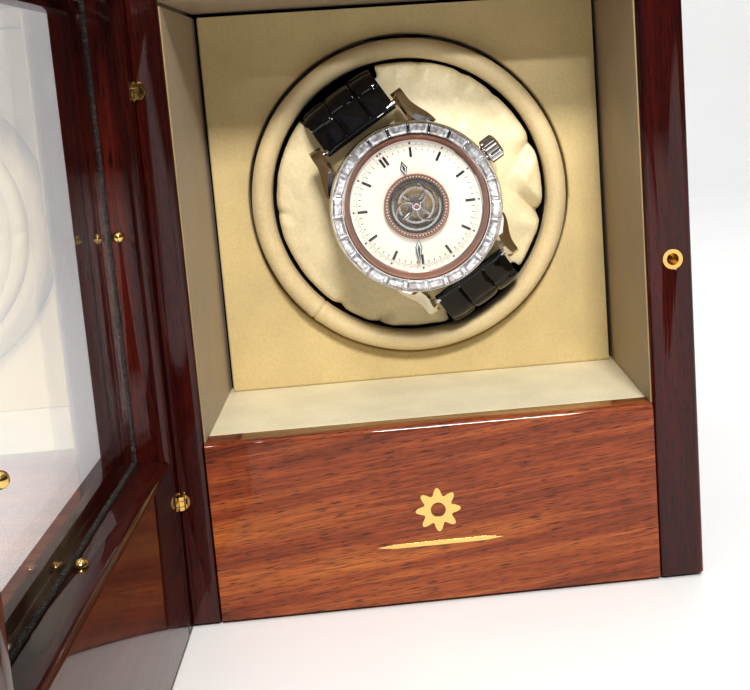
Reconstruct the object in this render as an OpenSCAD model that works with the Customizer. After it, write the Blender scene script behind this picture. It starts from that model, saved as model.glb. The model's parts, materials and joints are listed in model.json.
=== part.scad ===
// Watch winder box: a lacquered wooden case with a glazed door, a leather-lined niche,
// and a motor-driven drum that turns a watch on its cushion.
// Millimetres, +Z up, front towards -Y. The origin is the centre of the underside of the
// felt pad under the case. The door is drawn open by 90 degrees.

/* [Case] */
// Width of the case
body_w = 117; // [114:0.5:120]
// Depth of the case without the door
body_d = 140; // [139:1:144]
// Height of the wooden case above its felt pad
body_h = 142.5; // [140:0.5:146]
// Thickness of the side and top boards
board_t = 10; // [9.6:0.1:10.2]
// Height of the front panel below the niche
base_h = 40; // [38:0.5:41]
// Thickness of the front, back and bottom boards
inner_board_t = 8; // [7:0.5:8]
// Thickness of the felt pad
pad_t = 0.8; // [0.5:0.1:1.5]

/* [Niche] */
// Depth from the front of the case to the face of the fascia
niche_d = 41; // [39:0.5:43]
// Thickness of the leather lining on the sides and ceiling
lining_t = 0.4; // [0.3:0.1:0.5]
// Thickness of the padded lining on the floor
floor_lining_t = 1; // [0.8:0.1:1.2]
// Setback of the floor lining from the front of the case
floor_setback = 6; // [4:0.5:7]
// Open gap left round the fascia at the sides and the top
fascia_gap = 0.9; // [0.8:0.1:1.3]
// Thickness of the padded fascia
fascia_t = 4.5; // [4:0.5:5]

/* [Drum] */
// Height of the drum's axis above the table
drum_z = 86.3; // [85.5:0.1:87]
// Outer radius of the padded drum ring
ring_r = 38; // [37:0.5:38.5]
// Inner radius of the drum ring and of the cup
cup_r = 33.1; // [33:0.1:33.3]
// How far the ring stands in front of the fascia
ring_proud = 5.5; // [4:0.5:6]
// Depth of the cup from the face of the fascia
cup_depth = 43; // [42.5:0.5:43.5]
// Radius of the drum shaft
shaft_r = 3; // [2.5:0.1:3.2]
// Radial play between the drum shaft and its bush
running_fit = 0.05; // [0.03:0.01:0.08]
// Rim radius of the drum pulley
drum_pulley_r = 25; // [22:0.5:26]
// Rim radius of the motor pulley, a fifth of the drum pulley's
motor_pulley_r = 5; // [4.4:0.1:5.2]
// Distance from the drum shaft to the motor shaft
motor_dist = 40; // [38:0.5:41]
// Direction of the motor from the drum shaft, above the horizontal
motor_angle = -40; // [-45:1:-35]

/* [Door] */
// Thickness of the door
door_t = 13; // [12.5:0.1:13.5]
// Gap between the closed door and the case
door_gap = 0.3; // [0.2:0.05:0.4]
// Angle at which the door is drawn, 90 open and 0 closed
door_open = 90; // [0:1:90]
// Distance of the hinge axis from the side of the case, and size of the edge chamfers
hinge_inset = 3.9; // [3.5:0.1:4]
// Width of the stiles and of the top rail at the inner face
stile_w = 9.1; // [8.5:0.1:9.5]
// Height of the bottom rail at the inner face
bottom_rail_h = 38.8; // [37:0.1:39.4]
// Width of the lip that the glass rests on
glass_lip = 3; // [2:0.5:4]
// Depth of the glass behind the door's inner face
glass_depth = 7; // [6:0.5:7.5]
// Thickness of the glass
glass_t = 2; // [1.5:0.5:2.5]
// Radius of the hinge barrels
barrel_r = 2; // [1.8:0.1:2.2]
// Height of the lower hinge above the bottom of the case
hinge_low = 27.8; // [24:0.2:30]

/* [Watch] */
// Diameter of the watch over its bezel
watch_d = 39; // [38.8:0.1:39.2]
// Turn of the watch to the left, seen from the front
watch_roll = 32.3; // [0:0.1:45]
// Distance of the watch's back in front of the fascia
watch_back = 11.2; // [10.5:0.1:12]
// Width of the strap
strap_w = 19; // [18:0.5:19.5]
// Thickness of the strap
strap_t = 2.4; // [2:0.1:2.6]
// Number of baguette stones on the bezel
stone_count = 24; // [20:1:30]

/* [Hidden] */
$fn = 64;

eps = 0.01;                              // overshoot of a cutting solid
front_y = -body_d / 2;                   // front face of the case
back_y = body_d / 2;                     // back face of the case
side_x = body_w / 2;                     // outer face of a side board
inner_x = side_x - board_t;              // inner face of a side board
top_z = pad_t + body_h;                  // top of the case
ceiling_z = top_z - board_t;             // underside of the top board
base_z = pad_t + base_h;                 // top of the front panel
floor_z = base_z;                        // top of the floor lining
fascia_y = front_y + niche_d;            // front face of the fascia
arris_r = 1.2;                           // rounding of the lacquered edges

// drum and drive, from front to back
ring_y = fascia_y - ring_proud;          // front of the ring
ring_end_y = fascia_y + 8;               // back of the ring
cup_floor_y = fascia_y + cup_depth;      // inside of the cup's floor
cup_wall = 2.2;
cup_end_y = cup_floor_y + 2.5;           // outside of the cup's floor
pulley_y = cup_end_y + 2.5;              // front of the pulleys
pulley_w = 6;
pulley_flange = 1;
bracket_y = pulley_y + pulley_w + 2;     // front of the bracket's plate
bracket_t = 2;
bush_r = 5;
bush_len = 10;
shaft_end_y = bracket_y + bush_len + 2;
motor_x = motor_dist * cos(motor_angle);
motor_z = drum_z + motor_dist * sin(motor_angle);
gearbox_r = 12.5;
gearbox_len = 10;
motor_r = 12;
motor_len = 14;
motor_shaft_r = 1.5;
belt_w = 3.2;
belt_t = 1.2;
belt_clear = 0.15;
motor_back_y = bracket_y + bracket_t + gearbox_len + motor_len;
bracket_hole_y = bracket_y + 7;
bracket_hole_z = [drum_z - 30, drum_z + 30];
screw_r = 1.3;

// rear cover: a tray let into the back board, with its controls below the surface
cover_z = 86;
cover_w = 88;
cover_h = 60;
tray_w = 72;
tray_h = 44;
tray_depth = 8;
cover_t = 2.5;
cover_face_y = back_y - 2;               // outer face of the cover's flange
tray_face_y = cover_face_y - tray_depth; // face that carries the controls
cover_screw_x = 40;
cover_screw_z = 26;
knob_r = 5.5;
knob_len = 6.5;
knob_shaft_r = 3;
direction_x = -22;
turns_x = -4;
rocker_x = 13;
jack_x = 27;
board_y = tray_face_y - cover_t - 8;     // back face of the circuit board
board_thick = 1.6;

// door, measured closed and swung about the hinge axis
hinge_x = -side_x + hinge_inset;
hinge_y = front_y - door_gap / 2;
door_in_y = front_y - door_gap;          // inner face of the closed door
door_out_y = door_in_y - door_t;         // outer face of the closed door
door_bottom_z = pad_t + 0.2;
door_top_z = top_z - 0.2;
win_x = side_x - stile_w;                // half width of the window at the inner face
win_low_z = pad_t + bottom_rail_h;
win_high_z = top_z - stile_w;
glass_y = door_in_y - glass_depth;       // inner face of the glass
glass_clear = 0.2;
hinge_z = [pad_t + hinge_low, top_z - hinge_low];
hinge_pin_r = 0.6;
knuckle_r = 1.2;
knuckle_sweep_r = 1.45;
tongue_half = 0.55;                      // half thickness of the door barrel's tongue
ear_in = 0.65;                           // inner face of the case barrel's ears
ear_out = 1.5;                           // outer face of the case barrel's ears
barrel_len = 10;
catch_x = side_x - 4.3;
catch_z = top_z / 2 + 0.8;
catch_r = 1.1;
socket_r = 1.3;
pin_shank_r = 0.5;
pin_head_r = 1.25;
pin_len = 6;
pin_y = glass_y + 1.9;                   // centre of the glazing pins, in front of the glass
rail_pin_x = 1.5;                        // place of the rails' pins, near the middle
window_mid_z = (win_low_z + win_high_z) / 2;

// watch, in its own frame: z = 0 at the case back, +Z to the viewer, +Y to twelve o'clock
watch_x = 0.8;
watch_y = fascia_y - watch_back;
watch_z = drum_z - 0.5;
bezel_r = watch_d / 2;
case_r = bezel_r - 0.3;
movement_r = 16.2;
dial_z = 9;                              // face of the dial
bezel_z = 9.5;                           // underside of the bezel
bezel_top = 12.6;
lug_gap = strap_w / 2 + 0.6;
lug_w = 2.9;
bar_y = 21.5;                            // spring bar, which the strap's eye goes round
bar_z = 3;
bar_r = 0.75;
aperture_r = 6.4;
cage_r = 5.7;
strap_side = [30.7, 29.1];               // centre line in the cup of the upper and lower strap
strap_bend_r = 7;
strap_turn_r = 6;                        // bend behind the cushion
strap_slope = 25;
strap_back_z = -43;                      // centre line of the strap behind the cushion
crown_z = 5.5;
hour_turn = -17.8;                       // the hands stand at 12:35
minute_turn = -213.6;
holder_r = cup_r - 0.6;                  // radius of the cushion
cushion_dome_r = 76;                     // radius of the cushion's domed face
cushion_end = 14;
cushion_core_r = 28.4;
cushion_len = 36.5;

// Points along an arc of n segments
function arc(cx, cy, r, a0, a1, n = 6) =
  [for (i = [0:n]) [cx + r * cos(a0 + (a1 - a0) * i / n), cy + r * sin(a0 + (a1 - a0) * i / n)]];

// A box between two corners
module block(a, b) {
  translate(a)
    cube([b[0] - a[0], b[1] - a[1], b[2] - a[2]]);
}

// A round bar along Y, centred on x and z
module rod_y(x, z, r, y0, y1) {
  translate([x, y0, z])
    rotate([-90, 0, 0])
      cylinder(r = r, h = y1 - y0);
}

// A round bar along X
module rod_x(y, z, r, x0, x1) {
  translate([x0, y, z])
    rotate([0, 90, 0])
      cylinder(r = r, h = x1 - x0);
}

// Turns a profile drawn as (radius, y) about the drum's axis
module drum_turned() {
  translate([0, 0, drum_z])
    rotate([-90, 0, 0])
      rotate_extrude($fn = 96)
        children();
}

// Turns a profile drawn as (radius, y) about the motor's axis
module motor_turned() {
  translate([motor_x, 0, motor_z])
    rotate([-90, 0, 0])
      rotate_extrude()
        children();
}

module rounded_plate(w, d, h, r) {
  linear_extrude(height = h)
    union() {
      square([w - 2 * r, d], center = true);
      square([w, d - 2 * r], center = true);
      for (sx = [-1, 1], sy = [-1, 1])
        translate([sx * (w / 2 - r), sy * (d / 2 - r)])
          circle(r = r, $fn = 32);
    }
}

// ---------- case ----------

module base_pad() color("#17120f") {
  rounded_plate(body_w - 3, body_d - 3, pad_t, 2);
}

// Outline of the left side board: the front outer corner is cut at 45 degrees for the door
module left_outline() {
  polygon(concat(
    [[-side_x, front_y + hinge_inset], [hinge_x, front_y]],
    arc(-inner_x - arris_r, front_y + arris_r, arris_r, -90, 0),
    [[-inner_x, back_y]],
    arc(-side_x + arris_r, back_y - arris_r, arris_r, 90, 180)
  ));
}

module right_outline() {
  polygon(concat(
    arc(inner_x + arris_r, front_y + arris_r, arris_r, 180, 270),
    arc(side_x - arris_r, front_y + arris_r, arris_r, 270, 360),
    arc(side_x - arris_r, back_y - arris_r, arris_r, 0, 90),
    [[inner_x, back_y]]
  ));
}

// The wedge above a side board's top mitre
module mitre_cut(s) {
  translate([0, back_y + 1, 0])
    rotate([90, 0, 0])
      linear_extrude(height = body_d + 2)
        polygon([[s * inner_x, ceiling_z], [s * (side_x + 1), top_z + 1], [s * inner_x, top_z + 1]]);
}

module side_panel_left() color("#4a0f0a") {
  difference() {
    translate([0, 0, pad_t])
      linear_extrude(height = body_h)
        left_outline();
    mitre_cut(-1);
    for (z = hinge_z)
      rod_y(hinge_x, z, barrel_r + 0.02, front_y - 1, front_y + barrel_len + 1);
    for (z = bracket_hole_z)
      rod_x(bracket_hole_y, z, screw_r, -inner_x - 6, -inner_x + 1);
  }
}

module side_panel_right() color("#4a0f0a") {
  difference() {
    translate([0, 0, pad_t])
      linear_extrude(height = body_h)
        right_outline();
    mitre_cut(1);
    rod_y(catch_x, catch_z, 2.22, front_y - 1, front_y + 7);
    for (z = bracket_hole_z)
      rod_x(bracket_hole_y, z, screw_r, inner_x - 1, inner_x + 6);
  }
}

// Mitred to the side boards, with the hinge's edge chamfer carried across its corner
module top_panel() color("#5a160c") {
  difference() {
    translate([0, back_y, 0])
      rotate([90, 0, 0])
        linear_extrude(height = body_d)
          polygon([
            [-inner_x, ceiling_z], [inner_x, ceiling_z],
            [side_x, top_z], [-side_x, top_z]
          ]);
    translate([0, 0, ceiling_z - 1])
      linear_extrude(height = board_t + 2)
        polygon([
          [-side_x - 1, front_y + hinge_inset + 1], [-side_x - 1, front_y - 1],
          [hinge_x + 1, front_y - 1]
        ]);
  }
}

module bottom_panel() color("#3a1a10") {
  block([-inner_x, front_y + inner_board_t, pad_t],
        [inner_x, back_y - inner_board_t, pad_t + inner_board_t]);
}

module back_panel() color("#4a0f0a") {
  difference() {
    block([-inner_x, back_y - inner_board_t, pad_t], [inner_x, back_y, ceiling_z]);
    block([-tray_w / 2 - 0.5, back_y - inner_board_t - 1, cover_z - tray_h / 2 - 0.5],
          [tray_w / 2 + 0.5, back_y + 1, cover_z + tray_h / 2 + 0.5]);
    block([-cover_w / 2 - 0.3, cover_face_y - cover_t, cover_z - cover_h / 2 - 0.3],
          [cover_w / 2 + 0.3, back_y + 1, cover_z + cover_h / 2 + 0.3]);
    for (sx = [-1, 1], sz = [-1, 1])
      rod_y(sx * cover_screw_x, cover_z + sz * cover_screw_z, screw_r,
            back_y - inner_board_t - eps, cover_face_y);
  }
}

// Front panel below the niche, with a rounded top arris
module front_base_panel() color("#8a3414") {
  translate([-inner_x, 0, 0])
    rotate([90, 0, 90])
      linear_extrude(height = 2 * inner_x)
        polygon(concat(
          [[front_y, pad_t], [front_y + inner_board_t, pad_t]],
          [[front_y + inner_board_t, base_z - floor_lining_t]],
          [[front_y + floor_setback, base_z - floor_lining_t], [front_y + floor_setback, base_z]],
          arc(front_y + arris_r, base_z - arris_r, arris_r, 90, 180)
        ));
}

module niche_floor_board() color("#6b4a30") {
  block([-inner_x, front_y + inner_board_t, base_z - 6],
        [inner_x, fascia_y + fascia_t + 6, base_z - floor_lining_t]);
}

// Eight-petalled rosette over a slender bar
module front_emblem() color("#e8b95a") {
  translate([0, front_y, 0])
    rotate([90, 0, 0])
      linear_extrude(height = 0.15) {
        translate([0, 21.5])
          difference() {
            polygon([for (i = [0:79])
              let (a = i * 4.5, r = 4.1 + 0.9 * cos(8 * a)) [r * sin(a), r * cos(a)]]);
            circle(r = 1.6, $fn = 40);
          }
        translate([0, 14])
          polygon([[-14, 0], [-10, 0.5], [10, 0.5], [14, 0], [10, -0.5], [-10, -0.5]]);
      }
}

// ---------- niche ----------

module lining_left() color("#c9b892") {
  block([-inner_x, front_y + 0.9, floor_z], [-inner_x + lining_t, fascia_y + fascia_t, ceiling_z - 1.3]);
}

module lining_right() color("#c9b892") {
  block([inner_x - lining_t, front_y + 0.9, floor_z], [inner_x, fascia_y + fascia_t, ceiling_z - 1.3]);
}

// Let into the top of the front panel, flush with it
module lining_floor() color("#efe6c4") {
  block([-inner_x, front_y + floor_setback, base_z - floor_lining_t],
        [inner_x, fascia_y + fascia_t, floor_z]);
}

module lining_ceiling() color("#c9b892") {
  block([-inner_x, front_y + 0.9, ceiling_z - lining_t], [inner_x, fascia_y + fascia_t, ceiling_z]);
}

module fascia_panel() color("#e6dab4") {
  half_w = inner_x - lining_t - fascia_gap;
  difference() {
    block([-half_w, fascia_y, floor_z], [half_w, fascia_y + fascia_t, ceiling_z - lining_t - fascia_gap]);
    rod_y(0, drum_z, ring_r + 1, fascia_y - 1, fascia_y + fascia_t + 1);
  }
}

module catch_socket() color("#d9a441") {
  difference() {
    union() {
      rod_y(catch_x, catch_z, 2.2, front_y, front_y + 0.6);
      rod_y(catch_x, catch_z, 1.9, front_y + 0.6, front_y + 7);
    }
    rod_y(catch_x, catch_z, socket_r, front_y - 1, front_y + 6);
  }
}

// ---------- hinges ----------

// Half of the space on the case's side of the hinge, cut back with the edge chamfer
module case_side(clear) {
  linear_extrude(height = body_h)
    polygon([
      [hinge_x, front_y + clear], [hinge_x + 20, front_y + clear], [hinge_x + 20, front_y + 40],
      [hinge_x - 20, front_y + 40], [hinge_x - 20, front_y + 20 + clear]
    ]);
}

module case_hinge_barrels() color("#d9a441") {
  for (z = hinge_z)
    difference() {
      union() {
        intersection() {
          rod_y(hinge_x, z, barrel_r, front_y, front_y + barrel_len);
          case_side(0.02);
        }
        for (s = [-1, 1])
          translate([0, 0, z + s * (ear_in + ear_out) / 2])
            linear_extrude(height = ear_out - ear_in, center = true) {
              translate([hinge_x, hinge_y])
                circle(r = knuckle_r, $fn = 32);
              translate([hinge_x - knuckle_r / 2, hinge_y])
                square([knuckle_r, 4]);
            }
      }
      translate([hinge_x, hinge_y, z])
        cylinder(r = knuckle_sweep_r, h = 2 * ear_in, center = true);
      translate([hinge_x, hinge_y, z])
        cylinder(r = hinge_pin_r + 0.01, h = 4, center = true);
    }
}

module hinge_pins() color("#b8862f") {
  for (z = hinge_z)
    translate([hinge_x, hinge_y, z])
      cylinder(r = hinge_pin_r, h = 2 * ear_out, center = true);
}

// Places a part drawn on the closed door at the angle the door stands open
module on_door() {
  translate([hinge_x, hinge_y, 0])
    rotate([0, 0, -door_open])
      translate([-hinge_x, -hinge_y, 0])
        children();
}

module door_hinge_barrels() color("#d9a441") {
  on_door()
    for (z = hinge_z)
      difference() {
        union() {
          intersection() {
            rod_y(hinge_x, z, barrel_r, door_in_y - barrel_len, door_in_y);
            translate([0, 2 * hinge_y, 0])
              mirror([0, 1, 0])
                case_side(0.02);
          }
          translate([0, 0, z])
            linear_extrude(height = 2 * tongue_half, center = true) {
              translate([hinge_x, hinge_y])
                circle(r = knuckle_r, $fn = 32);
              translate([hinge_x - knuckle_r / 2, hinge_y - 4])
                square([knuckle_r, 4]);
            }
        }
        for (s = [-1, 1])
          translate([hinge_x, hinge_y, z + s * (tongue_half + barrel_r) / 2])
            cylinder(r = knuckle_sweep_r, h = barrel_r - tongue_half, center = true);
        translate([hinge_x, hinge_y, z])
          cylinder(r = hinge_pin_r + running_fit, h = 4, center = true);
      }
}

// ---------- door ----------

// Plan of the closed door's stile on the hinge side, with the edge chamfer at the hinge
module hinge_stile_outline() {
  polygon(concat(
    [[hinge_x, door_in_y]],
    [[-side_x, door_in_y - hinge_inset]],
    arc(-side_x + arris_r, door_out_y + arris_r, arris_r, 180, 270),
    [[-win_x + glass_lip, door_out_y], [-win_x + glass_lip, glass_y - glass_t], [-win_x, glass_y - glass_t]],
    arc(-win_x - arris_r, door_in_y - arris_r, arris_r, 0, 90)
  ));
}

// Plan of the closed door's other stile
module free_stile_outline() {
  polygon(concat(
    arc(side_x - arris_r, door_in_y - arris_r, arris_r, 90, 0),
    arc(side_x - arris_r, door_out_y + arris_r, arris_r, 0, -90),
    [[win_x - glass_lip, door_out_y], [win_x - glass_lip, glass_y - glass_t], [win_x, glass_y - glass_t]],
    arc(win_x + arris_r, door_in_y - arris_r, arris_r, 180, 90)
  ));
}

module door_hinge_stile() color("#4a0f0a") {
  on_door()
    difference() {
      translate([0, 0, door_bottom_z])
        linear_extrude(height = door_top_z - door_bottom_z)
          hinge_stile_outline();
      for (z = hinge_z)
        rod_y(hinge_x, z, barrel_r + 0.02, door_in_y - barrel_len - 1, door_in_y + 1);
      rod_x(pin_y, window_mid_z, pin_shank_r + 0.02, -win_x - pin_len, -win_x + 1);
    }
}

module door_free_stile() color("#4a0f0a") {
  on_door()
    difference() {
      translate([0, 0, door_bottom_z])
        linear_extrude(height = door_top_z - door_bottom_z)
          free_stile_outline();
      rod_y(catch_x, catch_z, catch_r + 0.02, door_in_y - 6, door_in_y + 1);
      rod_x(pin_y, window_mid_z, pin_shank_r + 0.02, win_x - 1, win_x + pin_len);
    }
}

// Section of a rail from its outer edge to the window: e is the outer edge, w the window edge,
// s is +1 when the window is above the rail
module rail(e, w, s) {
  translate([-win_x, 0, 0])
    rotate([90, 0, 90])
      linear_extrude(height = 2 * win_x)
        polygon(concat(
          [[door_in_y, e], [door_out_y, e], [door_out_y, w + s * glass_lip]],
          [[glass_y - glass_t, w + s * glass_lip], [glass_y - glass_t, w]],
          arc(door_in_y - arris_r, w - s * arris_r, arris_r, s * 90, 0)
        ));
}

// The lip of a rail is kept clear of the lips of the stiles
module stile_lips() {
  for (s = [-1, 1])
    block([s * win_x - (s > 0 ? glass_lip : 0), door_out_y - 1, door_bottom_z - 1],
          [s * win_x + (s > 0 ? 0 : glass_lip), glass_y - glass_t, door_top_z + 1]);
}

module door_bottom_rail() color("#7a2a12") {
  on_door()
    difference() {
      rail(door_bottom_z, win_low_z, 1);
      stile_lips();
      translate([rail_pin_x, pin_y, win_low_z - pin_len])
        cylinder(r = pin_shank_r + 0.02, h = pin_len + 1);
    }
}

module door_top_rail() color("#4a0f0a") {
  on_door()
    difference() {
      rail(door_top_z, win_high_z, -1);
      stile_lips();
      translate([rail_pin_x, pin_y, win_high_z - 1])
        cylinder(r = pin_shank_r + 0.02, h = pin_len + 1);
    }
}

module door_glass() color("#cfdcd8", 0.35) {
  on_door()
    block([-win_x + glass_clear, glass_y - glass_t, win_low_z + glass_clear],
          [win_x - glass_clear, glass_y, win_high_z - glass_clear]);
}

// Bead of putty that beds the glass
module glazing_bead() color("#4b4540") {
  bead = 0.9;
  on_door()
    difference() {
      block([-win_x, glass_y, win_low_z], [win_x, glass_y + 0.6, win_high_z]);
      block([-win_x + bead, glass_y - 1, win_low_z + bead], [win_x - bead, glass_y + 1, win_high_z - bead]);
    }
}

// A round-headed pin along +Z whose head stands on z = 0
module glazing_pin() {
  translate([0, 0, -pin_len + 0.2])
    cylinder(r = pin_shank_r, h = pin_len, $fn = 24);
  translate([0, 0, 0.1])
    intersection() {
      sphere(r = pin_head_r, $fn = 32);
      cylinder(r = pin_head_r, h = pin_head_r, $fn = 32);
    }
}

module glazing_pins() color("#e0b050") {
  on_door()
    translate([0, pin_y, 0]) {
      translate([rail_pin_x, 0, win_low_z])
        glazing_pin();
      translate([rail_pin_x, 0, win_high_z])
        mirror([0, 0, 1])
          glazing_pin();
      translate([-win_x, 0, window_mid_z])
        rotate([0, 90, 0])
          glazing_pin();
      translate([win_x, 0, window_mid_z])
        rotate([0, -90, 0])
          glazing_pin();
    }
}

module door_catch_pin() color("#d9a441") {
  on_door() {
    rod_y(catch_x, catch_z, catch_r, door_in_y - 5, door_in_y + 3);
    translate([catch_x, door_in_y + 3, catch_z])
      sphere(r = catch_r, $fn = 32);
  }
}

// ---------- drum ----------

// Padded ring: a full-round rim on a sleeve that fits over the cup
module drum_ring() color("#ddd0a6") {
  rim_r = (ring_r - cup_r) / 2;
  drum_turned() {
    translate([cup_r + rim_r, ring_y + rim_r])
      circle(r = rim_r, $fn = 48);
    translate([cup_r, ring_y + rim_r])
      square([2 * rim_r, fascia_y - ring_y - rim_r]);
    translate([cup_r + cup_wall + 0.02, fascia_y - eps])
      square([ring_r - cup_r - cup_wall - 0.02, ring_end_y - fascia_y + eps]);
  }
}

module drum_cup() color("#26221f") {
  drum_turned() {
    translate([cup_r, fascia_y])
      square([cup_wall, cup_end_y - fascia_y]);
    translate([shaft_r + 0.02, cup_floor_y])
      square([cup_r + eps - shaft_r, cup_end_y - cup_floor_y]);
    translate([shaft_r + 0.02, cup_end_y - eps])
      square([4, pulley_y - cup_end_y]);
  }
}

module drum_shaft() color("#b9bcc0") {
  rod_y(0, drum_z, shaft_r, cup_floor_y, shaft_end_y);
}

// Pulley drawn as (radius, y): rim between two flanges
module pulley_profile(bore_r, rim_r, flange_r) {
  polygon([
    [bore_r, pulley_y], [flange_r, pulley_y], [flange_r, pulley_y + pulley_flange],
    [rim_r, pulley_y + pulley_flange], [rim_r, pulley_y + pulley_w - pulley_flange],
    [flange_r, pulley_y + pulley_w - pulley_flange], [flange_r, pulley_y + pulley_w],
    [bore_r, pulley_y + pulley_w]
  ]);
}

module drum_pulley() color("#e8e6e0") {
  drum_turned()
    pulley_profile(shaft_r + 0.02, drum_pulley_r, drum_pulley_r + 1.6);
}

module motor_pulley() color("#c7a24a") {
  motor_turned()
    pulley_profile(0, motor_pulley_r, motor_pulley_r + 1.6);
  rod_y(motor_x, motor_z, motor_shaft_r, pulley_y + pulley_w - eps, bracket_y + bracket_t + 6);
}

// ---------- winding module ----------

module module_bracket() color("#9aa0a4") {
  half_w = inner_x - 0.1;
  flange = 14;
  difference() {
    union() {
      block([-half_w, bracket_y, drum_z - 40], [half_w, bracket_y + bracket_t, drum_z + 40]);
      for (s = [-1, 1])
        block([s > 0 ? half_w - 2 : -half_w, bracket_y, drum_z - 40],
              [s > 0 ? half_w : -half_w + 2, bracket_y + flange, drum_z + 40]);
      rod_y(0, drum_z, 8, bracket_y, bracket_y + bush_len);
    }
    rod_y(0, drum_z, bush_r + 0.02, bracket_y - 1, bracket_y + bush_len + 1);
    rod_y(motor_x, motor_z, 4, bracket_y - 1, bracket_y + bracket_t + 1);
    for (z = bracket_hole_z)
      rod_x(bracket_hole_y, z, screw_r + 0.3, -half_w - 1, half_w + 1);
  }
}

module shaft_bush() color("#b07a3c") {
  difference() {
    rod_y(0, drum_z, bush_r, bracket_y, bracket_y + bush_len);
    rod_y(0, drum_z, shaft_r + running_fit, bracket_y - 1, bracket_y + bush_len + 1);
  }
}

module gearbox() color("#a9abad") {
  y0 = bracket_y + bracket_t;
  difference() {
    rod_y(motor_x, motor_z, gearbox_r, y0, y0 + gearbox_len);
    rod_y(motor_x, motor_z, motor_shaft_r + running_fit, y0 - 1, y0 + 7);
  }
}

module motor_can() color("#c9cbcd") {
  y0 = bracket_y + bracket_t + gearbox_len;
  rod_y(motor_x, motor_z, motor_r, y0, y0 + motor_len);
  rod_y(motor_x, motor_z, 4, y0 + motor_len - eps, y0 + motor_len + 1.5);
}

// Outline of the belt's path at a distance off the pulley rims
module belt_outline(off) {
  lean = asin((drum_pulley_r - motor_pulley_r) / motor_dist);
  rotate(motor_angle)
    polygon(concat(
      arc(0, 0, drum_pulley_r + off, 90 - lean, 270 + lean, 60),
      arc(motor_dist, 0, motor_pulley_r + off, -90 + lean, 90 - lean, 30)
    ));
}

module drive_belt() color("#1b1b1b") {
  translate([0, pulley_y + (pulley_w + belt_w) / 2, drum_z])
    rotate([90, 0, 0])
      linear_extrude(height = belt_w)
        difference() {
          belt_outline(belt_clear + belt_t);
          belt_outline(belt_clear);
        }
}

module bracket_screws() color("#c0c2c4") {
  for (s = [-1, 1], z = bracket_hole_z)
    mirror([s > 0 ? 0 : 1, 0, 0]) {
      rod_x(bracket_hole_y, z, screw_r - 0.02, inner_x - 2.2, inner_x + 5);
      rod_x(bracket_hole_y, z, 2.6, inner_x - 3.6, inner_x - 2.1);
    }
}

// ---------- rear cover and controls ----------

module rear_cover() color("#1d1d1f") {
  z0 = cover_z - cover_h / 2;
  z1 = cover_z + cover_h / 2;
  difference() {
    union() {
      block([-cover_w / 2, cover_face_y - cover_t, z0], [cover_w / 2, cover_face_y, z1]);
      block([-tray_w / 2, tray_face_y - cover_t, cover_z - tray_h / 2],
            [tray_w / 2, cover_face_y - cover_t + eps, cover_z + tray_h / 2]);
    }
    block([-tray_w / 2 + 2, tray_face_y, cover_z - tray_h / 2 + 2],
          [tray_w / 2 - 2, cover_face_y + 1, cover_z + tray_h / 2 - 2]);
    for (sx = [-1, 1], sz = [-1, 1])
      rod_y(sx * cover_screw_x, cover_z + sz * cover_screw_z, screw_r + 0.3,
            cover_face_y - cover_t - 1, cover_face_y + 1);
    for (x = [direction_x, turns_x])
      rod_y(x, cover_z, knob_shaft_r + 0.05, tray_face_y - cover_t - 1, tray_face_y + 1);
    block([rocker_x - 4.2, tray_face_y - cover_t - 1, cover_z - 6.7],
          [rocker_x + 4.2, tray_face_y + 1, cover_z + 6.7]);
    rod_y(jack_x, cover_z, 3.6, tray_face_y - cover_t - 1, tray_face_y + 1);
  }
}

module cover_screws() color("#c0c2c4") {
  for (sx = [-1, 1], sz = [-1, 1]) {
    rod_y(sx * cover_screw_x, cover_z + sz * cover_screw_z, screw_r - 0.02,
          back_y - inner_board_t, cover_face_y + eps);
    difference() {
      rod_y(sx * cover_screw_x, cover_z + sz * cover_screw_z, 2.6, cover_face_y, cover_face_y + 1.6);
      translate([sx * cover_screw_x - 2, cover_face_y + 1, cover_z + sz * cover_screw_z - 0.3])
        cube([4, 1, 0.6]);
      translate([sx * cover_screw_x - 0.3, cover_face_y + 1, cover_z + sz * cover_screw_z - 2])
        cube([0.6, 1, 4]);
    }
  }
}

// Knob with a raised pointer on a shaft that reaches the switch on the board
module control_knob(x) {
  difference() {
    rod_y(x, cover_z, knob_r, tray_face_y + 0.5, tray_face_y + 0.5 + knob_len);
    for (i = [0:15])
      rod_y(x + (knob_r + 0.25) * cos(i * 22.5), cover_z + (knob_r + 0.25) * sin(i * 22.5), 0.6,
            tray_face_y + 1.5, tray_face_y + knob_len + 1);
  }
  rod_y(x, cover_z, knob_shaft_r, board_y + 5.3, tray_face_y + 0.5 + eps);
  block([x - 0.5, tray_face_y + knob_len + 0.5 - eps, cover_z + 1],
        [x + 0.5, tray_face_y + knob_len + 1, cover_z + knob_r - 1.2]);
}

module direction_knob() color("#2c2c2f") {
  control_knob(direction_x);
}

module turns_knob() color("#2c2c2f") {
  control_knob(turns_x);
}

// Rocker of the power switch: two faces at an angle over its pivot pin
module power_rocker() color("#141416") {
  rocker_tilt = 8;
  translate([rocker_x - 3.8, tray_face_y, cover_z])
    rotate([90, 0, 90])
      linear_extrude(height = 7.6)
        rotate(rocker_tilt)
          polygon([[-3, -6], [0.6, -6], [1.8, 0], [0.6, 6], [-3, 6]]);
  rod_x(tray_face_y, cover_z, 1, rocker_x - 4.1, rocker_x + 4.1);
}

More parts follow.
